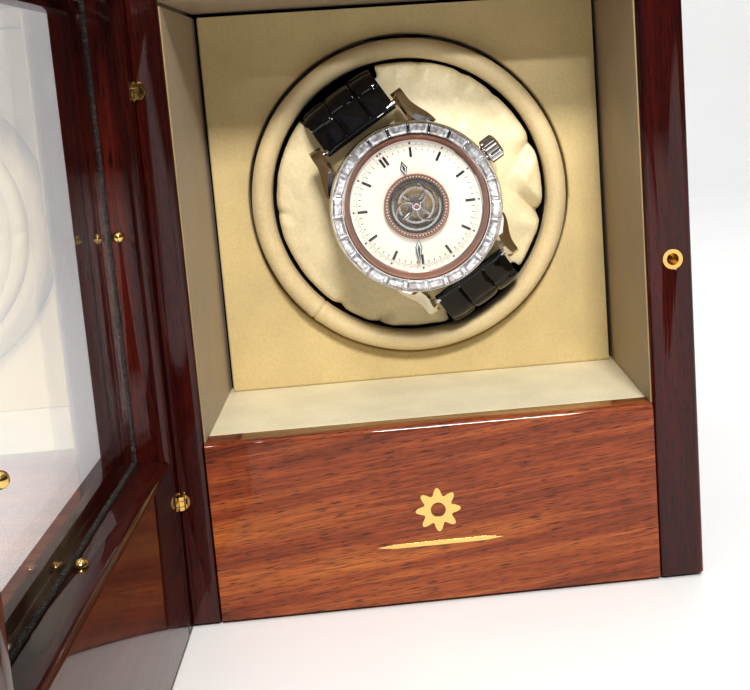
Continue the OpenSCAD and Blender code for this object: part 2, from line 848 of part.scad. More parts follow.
module dc_jack() color("#111111") {
  difference() {
    union() {
      rod_y(jack_x, cover_z, 3.5, tray_face_y - 2.5, tray_face_y);
      block([jack_x - 4.5, tray_face_y - 13.5, cover_z - 5],
            [jack_x + 4.5, tray_face_y - cover_t, cover_z + 5]);
    }
    rod_y(jack_x, cover_z, 2.85, tray_face_y - 10.5, tray_face_y + 1);
  }
  rod_y(jack_x, cover_z, 1, tray_face_y - 10.6, tray_face_y - 1);
}

// Board with two rotary switches, the power switch and a controller chip
module circuit_board() color("#1f5a36") {
  block([-33, board_y - board_thick, cover_z - 19], [18, board_y, cover_z + 19]);
  for (x = [direction_x, turns_x])
    block([x - 6, board_y - eps, cover_z - 6], [x + 6, board_y + 5, cover_z + 6]);
  block([rocker_x - 4, board_y - eps, cover_z - 6.5], [rocker_x + 4, board_y + 3, cover_z + 6.5]);
  block([-24, board_y - board_thick - 2.2, cover_z + 7], [-12, board_y - board_thick + eps, cover_z + 14]);
  rod_y(8, cover_z + 12, 3, board_y - eps, board_y + 5);
}

// A lead through a list of points
module lead(points, r) {
  for (i = [0:len(points) - 2]) {
    d = points[i + 1] - points[i];
    translate(points[i])
      rotate([0, acos(d[2] / norm(d)), atan2(d[1], d[0])])
        cylinder(r = r, h = norm(d), $fn = 16);
    if (i > 0)
      translate(points[i])
        sphere(r = r, $fn = 16);
  }
}

module wiring() color("#b02020") {
  for (s = [-1, 1]) {
    lead([
      [motor_x + 6 * s, motor_back_y, motor_z + 5],
      [motor_x + 6 * s, motor_back_y + 2.5, motor_z + 5],
      [motor_x - 2 + 2 * s, motor_back_y + 2.5, motor_z + 16],
      [22 + s, board_y - board_thick - 4, cover_z - 8 + s],
      [14 + 1.5 * s, board_y - board_thick - 4, cover_z - 8 + s],
      [14 + 1.5 * s, board_y - board_thick, cover_z - 8 + s]
    ], 0.6);
    lead([
      [jack_x + 2 * s, tray_face_y - 13.5, cover_z],
      [jack_x + 2 * s, tray_face_y - 16, cover_z],
      [14 + 1.5 * s, board_y - board_thick - 4, cover_z + 9],
      [14 + 1.5 * s, board_y - board_thick, cover_z + 9]
    ], 0.6);
  }
}

// ---------- watch and its cushion ----------

// Places a part drawn in the watch's own frame
module on_watch() {
  translate([watch_x, watch_y, watch_z])
    rotate([90, 0, 0])
      rotate([0, 0, watch_roll])
        children();
}

// The same turn about the drum's axis, for the cushion
module on_holder() {
  translate([0, watch_y, drum_z])
    rotate([90, 0, 0])
      rotate([0, 0, watch_roll])
        children();
}

module ring(r0, r1, z0, z1) {
  translate([0, 0, z0])
    difference() {
      cylinder(r = r1, h = z1 - z0);
      translate([0, 0, -1])
        cylinder(r = r0, h = z1 - z0 + 2);
    }
}

// Domed pad on a round core, cut away where the strap goes round it
module watch_cushion() color("#ddd0a4") {
  slot_y = [for (side = strap_side) side - strap_t / 2 - 0.3];
  difference() {
    on_holder() {
      intersection() {
        translate([0, 0, -cushion_dome_r - 0.3])
          sphere(r = cushion_dome_r, $fn = 128);
        translate([0, 0, -cushion_end])
          cylinder(r = holder_r, h = 20);
      }
      translate([0, 0, -cushion_len])
        cylinder(r = cushion_core_r, h = cushion_len - cushion_end + eps);
    }
    on_watch()
      for (y = [slot_y[0], -slot_y[1] - 10])
        translate([-strap_w / 2 - 0.8, y, -cushion_len - 1])
          cube([strap_w + 1.6, 10, cushion_len + 10]);
  }
}

// Side view of a lug, as (y, z)
module lug_profile() {
  polygon(concat(
    [[15, 9]],
    arc(17.5, 3, 6.2, 90, 8, 8),
    [[23.8, 1.4], [22.6, 0.7], [20.4, 1.5], [15, 2]]
  ));
}

module watch_case() color("#d8d9dc") {
  on_watch()
    difference() {
      union() {
        translate([0, 0, 1.2])
          cylinder(r = case_r, h = bezel_z - 1.2);
        cylinder(r = movement_r, h = 1.2 + eps);
        for (sx = [-1, 1], sy = [0, 1])
          mirror([0, sy, 0])
            translate([sx > 0 ? lug_gap : -lug_gap - lug_w, 0, 0])
              rotate([90, 0, 90])
                linear_extrude(height = lug_w)
                  lug_profile();
      }
      translate([0, 0, 3])
        cylinder(r = movement_r + 0.2, h = 10);
      translate([movement_r - 1, 0, crown_z])
        rotate([0, 90, 0])
          cylinder(r = 0.8 + running_fit, h = 6);
      for (s = [-1, 1])
        translate([-lug_gap - 2, s * bar_y, bar_z])
          rotate([0, 90, 0])
            cylinder(r = bar_r + 0.02, h = 2 * lug_gap + 4);
    }
}

module watch_movement() color("#b9a06a") {
  on_watch()
    difference() {
      translate([0, 0, 3])
        cylinder(r = movement_r, h = dial_z - 0.4 - 3);
      translate([0, 0, 4.2])
        cylinder(r = aperture_r, h = 10);
      translate([movement_r - 2, 0, crown_z])
        rotate([0, 90, 0])
          cylinder(r = 0.8 + running_fit, h = 6);
    }
}

module watch_bezel() color("#d8d9dc") {
  on_watch()
    rotate_extrude($fn = 96)
      polygon([
        [16.4, bezel_z], [bezel_r, bezel_z], [bezel_r, bezel_z + 1.6],
        [bezel_r - 0.7, bezel_top], [16.4, bezel_top]
      ]);
}

// Baguette stones standing end to end on the bezel
module bezel_stones() color("#eef2f6") {
  stone_r = (16.4 + bezel_r) / 2 - 0.1;
  stone_l = 2 * PI * stone_r / stone_count - 0.5;
  on_watch()
    for (i = [0:stone_count - 1])
      rotate([0, 0, i * 360 / stone_count])
        translate([-stone_l / 2, stone_r - 0.8, bezel_top])
          cube([stone_l, 1.6, 0.5]);
}

module flange_ring() color("#8a5a4a") {
  on_watch()
    rotate_extrude($fn = 96)
      polygon([[14.9, dial_z], [16.3, dial_z], [16.3, 11.8], [15.9, 11.8], [14.9, dial_z + 0.9]]);
}

module dial() color("#f0ece2") {
  on_watch()
    ring(aperture_r, movement_r, dial_z - 0.4, dial_z);
}

// Twelve hour batons, two of them at twelve, minute dots, and the ring round the aperture
module dial_markers() color("#15151a") {
  on_watch() {
    for (i = [1:11])
      rotate([0, 0, -30 * i])
        translate([-0.28, 11.1, dial_z])
          cube([0.56, 2.3, 0.2]);
    for (s = [-1, 1])
      translate([0.45 * s - 0.25, 11.1, dial_z])
        cube([0.5, 2.3, 0.2]);
    for (i = [0:11])
      rotate([0, 0, -30 * i])
        translate([0, 14.3, dial_z])
          cylinder(r = 0.22, h = 0.15, $fn = 16);
    ring(aperture_r, 7.05, dial_z, dial_z + 0.3);
  }
}

module crystal() color("#e8f0f2", 0.25) {
  on_watch()
    translate([0, 0, 11.9])
      cylinder(r = 16.3, h = 1.3);
}

// Side view of half a strap, as (y, z): eye, slope, bend, side, back bend and tail.
// off shifts the tail outwards, and reach is how far the tail runs past the centre.
module strap_profile(side, off, reach) {
  h = strap_t / 2;
  cy = side - strap_bend_r;
  start_y = cy + strap_bend_r * cos(90 - strap_slope);
  cz = bar_z - (start_y - bar_y) * tan(strap_slope) - strap_bend_r * sin(90 - strap_slope);
  back_z = strap_back_z - off;
  difference() {
    union() {
      translate([bar_y, bar_z])
        circle(r = h, $fn = 32);
      polygon(concat(
        [[bar_y + h * sin(strap_slope), bar_z + h * cos(strap_slope)]],
        arc(cy, cz, strap_bend_r + h, 90 - strap_slope, 0, 8),
        arc(side - strap_turn_r, back_z + strap_turn_r, strap_turn_r + h, 0, -90, 8),
        [[-reach, back_z - h], [-reach, back_z + h]],
        arc(side - strap_turn_r, back_z + strap_turn_r, strap_turn_r - h, -90, 0, 8),
        arc(cy, cz, strap_bend_r - h, 0, 90 - strap_slope, 8),
        [[bar_y - h * sin(strap_slope), bar_z - h * cos(strap_slope)]]
      ));
    }
    translate([bar_y, bar_z])
      circle(r = bar_r + 0.02, $fn = 24);
  }
}

module strap_half(side, off, reach) {
  translate([-strap_w / 2, 0, 0])
    rotate([90, 0, 90])
      linear_extrude(height = strap_w)
        strap_profile(side, off, reach);
}

// A spring bar between two lugs
module spring_bar() {
  translate([-lug_gap - 1.5, bar_y, bar_z])
    rotate([0, 90, 0])
      cylinder(r = bar_r, h = 2 * lug_gap + 3, $fn = 24);
}

// Upper half of the strap with its spring bar and the pin buckle behind the cushion
module strap_upper() color("#0d0d0f") {
  on_watch() {
    strap_half(strap_side[0], 0, 1);
    spring_bar();
    difference() {
      translate([-strap_w / 2 - 2, -7.5, strap_back_z - strap_t - 2.3])
        cube([strap_w + 4, 6.2, 6.2]);
      translate([-strap_w / 2 - 0.5, -8, strap_back_z - strap_t - 1.7])
        cube([strap_w + 1, 7, 5]);
    }
  }
}

module strap_lower() color("#0d0d0f") {
  on_watch()
    mirror([0, 1, 0]) {
      strap_half(strap_side[1], strap_t + 0.3, 14);
      spring_bar();
    }
}

// Fluted crown on a stem that enters the case
module crown() color("#cfd0d4") {
  on_watch()
    translate([case_r + 0.5, 0, crown_z])
      rotate([0, 90, 0]) {
        difference() {
          cylinder(r = 3, h = 3.6);
          for (i = [0:19])
            rotate([0, 0, 18 * i])
              translate([3.15, 0, -1])
                cylinder(r = 0.35, h = 6, $fn = 16);
        }
        translate([0, 0, 3.6 - eps])
          cylinder(r1 = 2.6, r2 = 2, h = 0.6);
        translate([0, 0, -4.5])
          cylinder(r = 0.8, h = 4.5 + eps);
      }
}

// Arrow of a hand, from r0 out to its tip at r1
module hand_arrow(r0, r1, w, z) {
  translate([0, 0, z])
    linear_extrude(height = 0.2)
      polygon([[-w / 2, r0], [w / 2, r0], [0, r1]]);
}

// Clear disc that carries the hour hand
module hour_disc() color("#dfe6e8", 0.5) {
  on_watch() {
    ring(7.3, 10.9, dial_z + 0.45, dial_z + 0.7);
    rotate([0, 0, hour_turn])
      hand_arrow(7.4, 10.4, 1.1, dial_z + 0.7 - eps);
  }
}

// Clear disc that carries the minute hand
module minute_disc() color("#dfe6e8", 0.5) {
  on_watch() {
    ring(7.3, 14.2, dial_z + 1.1, dial_z + 1.35);
    rotate([0, 0, minute_turn])
      hand_arrow(7.4, 13.2, 1.1, dial_z + 1.35 - eps);
  }
}

// Carriage that turns once a minute, with its balance wheel inside
module tourbillon_cage() color("#b98f4a") {
  on_watch() {
    ring(cage_r - 0.6, cage_r, 8.4, 9);
    ring(cage_r - 0.6, cage_r, 4.6, 5.2);
    for (i = [0:2])
      rotate([0, 0, 120 * i]) {
        translate([-0.4, 0, 8.4])
          cube([0.8, cage_r - 0.3, 0.6]);
        translate([-0.4, 0, 4.6])
          cube([0.8, cage_r - 0.3, 0.6]);
        translate([-0.4, cage_r - 0.6, 5.1])
          cube([0.8, 0.5, 3.4]);
      }
    translate([0, 0, 4.4])
      cylinder(r = 0.5, h = 5, $fn = 24);
    translate([0, 0, 8.9])
      cylinder(r = 1.1, h = 0.5, $fn = 32);
    ring(3.9, 4.5, 6.4, 7);
    translate([-4.2, -0.3, 6.4])
      cube([8.4, 0.6, 0.6]);
  }
}

base_pad();
bottom_panel();
side_panel_left();
side_panel_right();
top_panel();
back_panel();
front_base_panel();
niche_floor_board();
front_emblem();
lining_left();
lining_right();
lining_floor();
lining_ceiling();
fascia_panel();
catch_socket();
case_hinge_barrels();
hinge_pins();
module_bracket();
shaft_bush();
gearbox();
motor_can();
drive_belt();
circuit_board();
wiring();
rear_cover();
cover_screws();
bracket_screws();
dc_jack();
door_hinge_stile();
door_free_stile();
door_top_rail();
door_bottom_rail();
door_glass();
glazing_bead();
glazing_pins();
door_hinge_barrels();
door_catch_pin();
drum_ring();
drum_cup();
drum_shaft();
drum_pulley();
motor_pulley();
direction_knob();
turns_knob();
power_rocker();
watch_cushion();
watch_case();
watch_movement();
watch_bezel();
bezel_stones();
flange_ring();
dial();
dial_markers();
crystal();
strap_upper();
strap_lower();
crown();
hour_disc();
minute_disc();
tourbillon_cage();
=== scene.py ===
"""Watch winder box: its looks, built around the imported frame. Metres, +Z up, front towards -Y.

Pieces are drawn in millimetres in a frame of their own and placed by a matrix.
"""
import json
import math
import random

import bmesh
import bpy
from mathutils import Matrix, Vector, noise

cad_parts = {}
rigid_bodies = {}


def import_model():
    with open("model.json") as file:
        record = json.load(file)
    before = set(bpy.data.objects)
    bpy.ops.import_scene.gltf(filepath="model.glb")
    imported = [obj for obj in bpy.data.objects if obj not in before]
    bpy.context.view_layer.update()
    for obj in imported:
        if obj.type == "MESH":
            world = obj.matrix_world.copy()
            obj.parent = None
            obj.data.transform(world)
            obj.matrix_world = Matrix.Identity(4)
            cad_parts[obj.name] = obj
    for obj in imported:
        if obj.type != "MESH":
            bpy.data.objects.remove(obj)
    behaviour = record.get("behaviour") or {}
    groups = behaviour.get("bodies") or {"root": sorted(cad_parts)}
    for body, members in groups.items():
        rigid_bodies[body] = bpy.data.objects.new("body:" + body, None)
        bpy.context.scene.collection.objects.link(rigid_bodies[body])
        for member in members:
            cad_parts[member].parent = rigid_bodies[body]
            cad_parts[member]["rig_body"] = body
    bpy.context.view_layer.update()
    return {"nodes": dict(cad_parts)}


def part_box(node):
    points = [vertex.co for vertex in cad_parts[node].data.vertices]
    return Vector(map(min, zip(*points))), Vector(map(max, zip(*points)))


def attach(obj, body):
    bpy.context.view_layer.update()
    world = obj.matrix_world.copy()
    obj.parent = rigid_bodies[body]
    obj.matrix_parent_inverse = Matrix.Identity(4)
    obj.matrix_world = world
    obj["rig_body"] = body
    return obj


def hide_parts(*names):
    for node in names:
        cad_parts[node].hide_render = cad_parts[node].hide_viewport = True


MM = 0.001
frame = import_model()
random.seed(7)

# ---------- places, taken from the frame ----------

QUARTER = Matrix.Rotation(math.radians(90), 4, "X")     # turns +Z towards the viewer, -Y
ring_lo, ring_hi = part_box("drum_ring")
crystal_lo, crystal_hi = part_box("crystal")
floor_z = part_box("base_pad")[0].z
drum_axis = (ring_lo + ring_hi) / 2
watch_axis = (crystal_lo + crystal_hi) / 2
CRYSTAL_FLOOR = 11.9    # height of the crystal's underside over the watch's back, in millimetres
watch_back_y = crystal_hi.y + CRYSTAL_FLOOR * MM
WATCH_ROLL = math.radians(32.3)


def facing(x, y, z, turn=0.0):
    """From millimetres drawn facing the viewer, with +Z towards -Y, to the frame."""
    spin = Matrix.Rotation(turn, 4, "Z")
    return Matrix.Translation((x, y, z)) @ QUARTER @ spin @ Matrix.Scale(MM, 4)


IN_FRAME = Matrix.Scale(MM, 4)
ON_WATCH = facing(watch_axis.x, watch_back_y, watch_axis.z, WATCH_ROLL)
ON_HOLDER = facing(drum_axis.x, watch_back_y, drum_axis.z, WATCH_ROLL)
ON_DRUM = facing(drum_axis.x, ring_lo.y, drum_axis.z)


def linked(name, data):
    """A new object in the scene."""
    made = bpy.data.objects.new(name, data)
    bpy.context.scene.collection.objects.link(made)
    return made


def evaluated(piece):
    """The piece's mesh as its modifiers leave it."""
    bpy.context.view_layer.update()
    return bpy.data.meshes.new_from_object(piece.evaluated_get(bpy.context.evaluated_depsgraph_get()))


def baked(piece):
    """Applies the piece's modifiers and returns its new mesh."""
    mesh = evaluated(piece)
    piece.modifiers.clear()
    piece.data = mesh
    return mesh


# ---------- camera, lights and floor ----------

def add_camera():
    """View from the front, a little above the drum and turned slightly to the right."""
    yaw, pitch, roll = 0.0784, -0.1516, -0.0671
    ahead = Vector((math.sin(yaw) * math.cos(pitch), math.cos(yaw) * math.cos(pitch), math.sin(pitch)))
    level = Vector((math.cos(yaw), -math.sin(yaw), 0))
    upright = level.cross(ahead)
    right = math.cos(roll) * level + math.sin(roll) * upright
    up = math.cos(roll) * upright - math.sin(roll) * level
    data = bpy.data.cameras.new("camera")
    data.sensor_width = 36
    data.lens = 54.43
    data.shift_x = -0.1380
    data.shift_y = -0.1245
    data.clip_start = 0.01
    camera = linked("camera", data)
    camera.matrix_world = Matrix((right, up, -ahead)).transposed().to_4x4()
    camera.location = (-0.00598, -0.305924, 0.113561)
    bpy.context.scene.camera = camera


def aim(lamp, place, target):
    lamp.location = place
    lamp.rotation_euler = (Vector(target) - Vector(place)).to_track_quat("-Z", "Y").to_euler()


def add_light(name, place, target, size, power, color=(1, 1, 1)):
    data = bpy.data.lights.new(name, "AREA")
    data.shape = "RECTANGLE"
    data.size, data.size_y = size
    data.energy = power
    data.color = color
    aim(linked(name, data), place, target)


def add_sky():
    """Surroundings that are dark below the horizon and grow bright above it."""
    dark_until, bright_from = 0.30, 0.62
    bands_of_sky = [(dark_until, (0.10, 0.10, 0.11, 1)), (bright_from, (0.93, 0.95, 1.0, 1))]
    world = bpy.data.worlds.new("studio")
    world.use_nodes = True
    sky = world.node_tree.nodes["Background"]
    sky.inputs["Strength"].default_value = 0.30
    tree = world.node_tree
    direction = tree.nodes.new("ShaderNodeTexCoord")
    split = tree.nodes.new("ShaderNodeSeparateXYZ")
    bands = tree.nodes.new("ShaderNodeValToRGB")
    tree.links.new(direction.outputs["Generated"], split.inputs["Vector"])
    tree.links.new(split.outputs["Z"], bands.inputs["Fac"])
    tree.links.new(bands.outputs["Color"], sky.inputs["Color"])
    for element, (position, color) in zip(bands.color_ramp.elements, bands_of_sky):
        element.position = position
        element.color = color
    bpy.context.scene.world = world


def add_studio():
    add_sky()
    niche = (0.0, -0.03, 0.08)
    add_light("key", (0.10, -1.15, 0.98), niche, (0.30, 0.22), 21.0, (1.0, 0.97, 0.92))
    add_light("overhead", (-0.1, -0.2, 1.2), niche, (1.2, 0.9), 5.0)
    add_light("backdrop", (0.2, 0.35, 1.1), (0.2, 0.95, 0.3), (1.4, 0.4), 3.0)
    add_light("left_panel", (-1.1, -0.5, 0.5), niche, (0.6, 0.9), 0.8, (0.92, 0.95, 1.0))
    accent = bpy.data.lights.new("accent", "SPOT")
    accent.energy = 20.0
    accent.spot_size = math.radians(4.8)
    accent.spot_blend = 0.8
    accent.shadow_soft_size = 0.02
    aim(linked("accent", accent), (0.08, -0.90, 0.46), (0.010, -0.035, 0.107))
    view = bpy.context.scene.view_settings
    view.gamma = 0.88
    view.view_transform = "Standard"
    view.exposure = 0.0


# ---------- materials ----------

class Finish:
    """A node material: its Principled shader and short ways of adding nodes in front of it."""

    def __init__(self, name, slot, color, roughness, metallic=0.0, **sockets):
        self.material = bpy.data.materials.new(name)
        self.material.use_nodes = True
        self.slot = slot
        self.tree = self.material.node_tree
        self.shader = self.tree.nodes["Principled BSDF"]
        self.shader.inputs["Base Color"].default_value = (*color, 1)
        self.shader.inputs["Roughness"].default_value = roughness
        self.shader.inputs["Metallic"].default_value = metallic
        for key, value in sockets.items():
            self.shader.inputs[key.replace("_", " ").title().replace("Ior", "IOR")].default_value = value

    def add(self, kind, values=(), **settings):
        made = self.tree.nodes.new("ShaderNode" + kind)
        for key, value in settings.items():
            setattr(made, key, value)
        for key, value in dict(values).items():
            made.inputs[key].default_value = value
        return made

    def join(self, source, target):
        self.tree.links.new(source, target)

    def place(self, scale=(1, 1, 1), turn=(0, 0, 0)):
        """Object coordinates in millimetres, turned first and then stretched."""
        coordinates = self.add("TexCoord")
        turned = self.add("Mapping", {"Rotation": turn})
        stretch = self.add("Mapping", {"Scale": [1000 * s for s in scale]})
        self.join(coordinates.outputs["Object"], turned.inputs["Vector"])
        self.join(turned.outputs["Vector"], stretch.inputs["Vector"])
        return stretch.outputs["Vector"]

    def noise(self, where, scale, detail=3.0, roughness=0.55, distortion=0.0):
        made = self.add("TexNoise", {"Scale": scale, "Detail": detail, "Roughness": roughness,
                                     "Distortion": distortion})
        self.join(where, made.inputs["Vector"])
        return made.outputs["Fac"]

    def cells(self, where, scale, feature="F1"):
        made = self.add("TexVoronoi", {"Scale": scale}, feature=feature)
        self.join(where, made.inputs["Vector"])
        return made.outputs["Distance"]

    def ramp(self, factor, stops):
        """Colour or value ramp through (position, colour or value) stops."""
        made = self.add("ValToRGB")
        elements = made.color_ramp.elements
        while len(elements) < len(stops):
            elements.new(0.5)
        for element, (position, value) in zip(elements, stops):
            element.position = position
            element.color = (*value, 1) if isinstance(value, tuple) else (value, value, value, 1)
        self.join(factor, made.inputs["Fac"])
        return made.outputs["Color"]

    def math(self, operation, a, b):
        made = self.add("Math", operation=operation)
        for socket, value in zip(made.inputs, (a, b)):
            if isinstance(value, (int, float)):
                socket.default_value = value
            else:
                self.join(value, socket)
        return made.outputs["Value"]

    def mix(self, factor, a, b, blend="MIX"):
        made = self.add("Mix", data_type="RGBA", blend_type=blend)
        for socket, value in ((made.inputs[0], factor), (made.inputs[6], a), (made.inputs[7], b)):
            if isinstance(value, (int, float)):
                socket.default_value = value
            elif isinstance(value, tuple):
                socket.default_value = (*value, 1)
            else:
                self.join(value, socket)
        return made.outputs[2]

    def color(self, value):
        self.join(value, self.shader.inputs["Base Color"])

    def roughness(self, value):
        self.join(value, self.shader.inputs["Roughness"])

    def bump(self, *layers):
        """Stacks (height, strength, distance in millimetres) layers of bump."""
        normal = None
        for height, strength, distance in layers:
            made = self.add("Bump", {"Strength": strength, "Distance": distance * MM})
            self.join(height, made.inputs["Height"])
            if normal:
                self.join(normal, made.inputs["Normal"])
            normal = made.outputs["Normal"]
        self.join(normal, self.shader.inputs["Normal"])
        return normal


def stretched(along, amount):
    """Texture scale that draws the grain out along one axis."""
    return tuple(amount if axis == along else 1.0 for axis in "XYZ")


def mahogany(name, slot, along, shades, figure=0.11, turn=(0, 0, 0)):
    """Lacquered mahogany: ribbon figure, fine grain and dark pores drawn out along it, under a coat."""
    figure_stretch, grain_stretch, pore_stretch = 0.05, 0.035, 0.055
    wood = Finish(name, slot, shades[1], 0.38, coat_weight=0.8, coat_roughness=0.035, coat_ior=1.5,
                  specular_ior_level=0.08)
    broad = wood.noise(wood.place(stretched(along, figure_stretch), turn), figure, 5.0, 0.6, 0.6)
    fine = wood.noise(wood.place(stretched(along, grain_stretch), turn), 2.4, 4.0, 0.65, 0.2)
    pores = wood.noise(wood.place(stretched(along, pore_stretch), turn), 4.4, 2.0, 0.5)
    dashes = wood.ramp(pores, [(0.56, 0.0), (0.65, 1.0)])
    figure_color = wood.ramp(broad, [(0.30, shades[0]), (0.5, shades[1]), (0.70, shades[2])])
    grain = wood.ramp(fine, [(0.30, 0.36), (0.55, 1.0), (0.75, 1.5)])
    grained = wood.mix(0.75, figure_color, grain, "MULTIPLY")
    darkened = wood.math("MULTIPLY", dashes, 0.82)
    wood.color(wood.mix(darkened, grained, shades[3]))
    wood.bump((fine, 0.05, 0.05), (broad, 0.10, 0.3))
    return wood


def leather(name, slot, color, pebble=1.5, depth=0.30, crease=0.0, roughness=0.46):
    """Soft grained leather: pebbles, slow changes of tone and, where asked for, hairline creases."""
    skin = Finish(name, slot, color, roughness, sheen_weight=0.15, specular_ior_level=0.42)
    flat = skin.place()
    grain = skin.cells(flat, pebble, "SMOOTH_F1")
    fine = skin.noise(flat, pebble * 2.6, 3.0, 0.6)
    slow = skin.noise(flat, 0.07, 3.0, 0.5)
    dull, fresh = tuple(0.90 * c for c in color), tuple(min(1, 1.06 * c) for c in color)
    tone = skin.ramp(slow, [(0.3, dull), (0.7, fresh)])
    pits = skin.ramp(grain, [(0.0, 1.0), (0.75, 0.90)])
    skin.color(skin.mix(1.0, tone, pits, "MULTIPLY"))
    skin.roughness(skin.ramp(fine, [(0.3, roughness - 0.07), (0.7, roughness + 0.08)]))
    layers = [(grain, depth, 0.10), (fine, depth * 0.7, 0.05)]
    if crease:
        folds = skin.noise(flat, 0.33, 4.0, 0.55, 1.4)
        lines = skin.ramp(folds, [(0.44, 1.0), (0.50, 0.0), (0.56, 1.0)])
        layers.append((lines, crease, 0.22))
    skin.bump(*layers)
    return skin


def metal(name, slot, color, roughness, wear=0.06, scale=0.6, along=None):
    """Metal with a slightly uneven polish, or brushed along one axis."""
    made = Finish(name, slot, color, roughness, 1.0)
    where = made.place(stretched(along, 0.04)) if along else made.place()
    uneven = made.noise(where, scale * (6 if along else 1), 4.0)
    made.roughness(made.ramp(uneven, [(0.3, max(0.0, roughness - wear)), (0.75, roughness + wear)]))
    made.color(made.ramp(uneven, [(0.25, tuple(0.90 * c for c in color)), (0.75, color)]))
    if along:
        made.bump((uneven, 0.15, 0.02))
    return made


def plastic(name, slot, color, roughness, grain=2.5, depth=0.12):
    made = Finish(name, slot, color, roughness)
    fine = made.noise(made.place(), grain, 3.0)
    made.roughness(made.ramp(fine, [(0.3, roughness - 0.05), (0.7, roughness + 0.08)]))
    made.color(made.ramp(fine, [(0.3, tuple(0.85 * c for c in color)), (0.7, color)]))
    made.bump((fine, depth, 0.04))
    return made


def clear(name, slot, index, strength):
    """Clear glass: its surface reflection, which grows at a grazing angle and is alike on both faces."""
    made = Finish(name, slot, (1, 1, 1), 0.015, 1.0)
    head_on = ((index - 1) / (index + 1)) ** 2
    facing = made.add("LayerWeight", {"Blend": 0.5}).outputs["Facing"]
    grazing = made.math("MULTIPLY", made.math("POWER", facing, 5.0), (1 - head_on) * strength)
    smear = made.noise(made.place(), 0.05, 2.0)
    film = made.math("MULTIPLY", smear, 0.02)
    share = made.math("ADD", grazing, head_on * strength)
    made.join(made.math("ADD", share, film), made.shader.inputs["Alpha"])
    return made


def felt():
    made = Finish("felt", "felt", (0.012, 0.010, 0.009), 0.95, sheen_weight=0.4)
    fibres = made.noise(made.place(), 5.0, 4.0)
    made.color(made.ramp(fibres, [(0.3, (0.006, 0.005, 0.005)), (0.7, (0.03, 0.026, 0.024))]))
    made.bump((fibres, 0.6, 0.1))
    return made


def putty():
    """Old black glazing putty with chalky specks."""
    made = Finish("putty", "putty", (0.03, 0.028, 0.026), 0.75)
    where = made.place()
    crumbs = made.noise(where, 1.6, 5.0, 0.7)
    specks = made.noise(where, 4.5, 2.0)
    dark = made.ramp(crumbs, [(0.35, (0.008, 0.007, 0.007)), (0.65, (0.07, 0.062, 0.056))])
    chalk = made.ramp(specks, [(0.62, 0.0), (0.68, 1.0)])
    made.color(made.mix(chalk, dark, (0.42, 0.38, 0.33)))
    made.bump((crumbs, 0.8, 0.25))
    return made


def white_table():
    made = Finish("table", None, (0.93, 0.935, 0.94), 0.35, specular_ior_level=0.4)
    slow = made.noise(made.place(), 0.02, 2.0)
    made.color(made.ramp(slow, [(0.3, (0.92, 0.925, 0.93)), (0.7, (0.94, 0.945, 0.95))]))
    return made


def opaline_dial():
    """Silvered opaline with a faint even grain."""
    made = Finish("dial_opaline", "dial_white", (0.82, 0.78, 0.70), 0.42, 0.15, coat_weight=0.2)
    fine = made.noise(made.place(), 7.0, 2.0)
    slow = made.noise(made.place(), 0.12, 2.0)
    tone = made.ramp(slow, [(0.3, (0.82, 0.77, 0.66)), (0.7, (0.88, 0.83, 0.73))])
    specks = made.ramp(fine, [(0.3, 0.93), (0.7, 1.0)])
    made.color(made.mix(1.0, tone, specks, "MULTIPLY"))
    made.bump((fine, 0.10, 0.02))
    return made


def cut_stone():
    """Bright cut faces that mirror what stands round them, with painted glints: cells coloured white, grey
    and brownish grey.
    """
    made = Finish("cut_stone", "clear_stone", (0.93, 0.95, 0.98), 0.03, 0.6, coat_weight=1.0, coat_ior=2.2)
    # painted glints: cells colour the stone white, grey and brownish grey, as facet reflections would
    inner = made.cells(made.place(), 1.3)
    painted_glints = [(0.1, (0.98, 0.99, 1.0)), (0.4, (0.72, 0.74, 0.78)), (0.75, (0.42, 0.38, 0.36))]
    made.color(made.ramp(inner, painted_glints))
    return made


def alligator():
    """Glazed black hide: the scales are modelled, the shader adds fine folds."""
    made = Finish("alligator", "strap_leather", (0.004, 0.004, 0.005), 0.2, coat_weight=1.0,
                  coat_roughness=0.05, specular_ior_level=0.0)
    fine = made.noise(made.place(), 2.2, 3.0)
    folds = made.noise(made.place(), 0.6, 3.0, 0.6, 1.0)
    made.color(made.ramp(folds, [(0.3, (0.002, 0.002, 0.003)), (0.7, (0.007, 0.007, 0.008))]))
    made.roughness(made.ramp(fine, [(0.3, 0.16), (0.7, 0.32)]))
    made.bump((folds, 0.3, 0.25), (fine, 0.15, 0.04))
    return made


JAMB = [(0.014, 0.0016, 0.001), (0.048, 0.0035, 0.0015), (0.112, 0.011, 0.004), (0.005, 0.0008, 0.0006)]
PANEL = [(0.115, 0.018, 0.005), (0.290, 0.062, 0.016), (0.520, 0.165, 0.034), (0.026, 0.005, 0.003)]
INNER = [(0.20, 0.11, 0.06), (0.28, 0.17, 0.10), (0.36, 0.24, 0.15), (0.10, 0.05, 0.03)]
CREAM = (0.70, 0.56, 0.29)

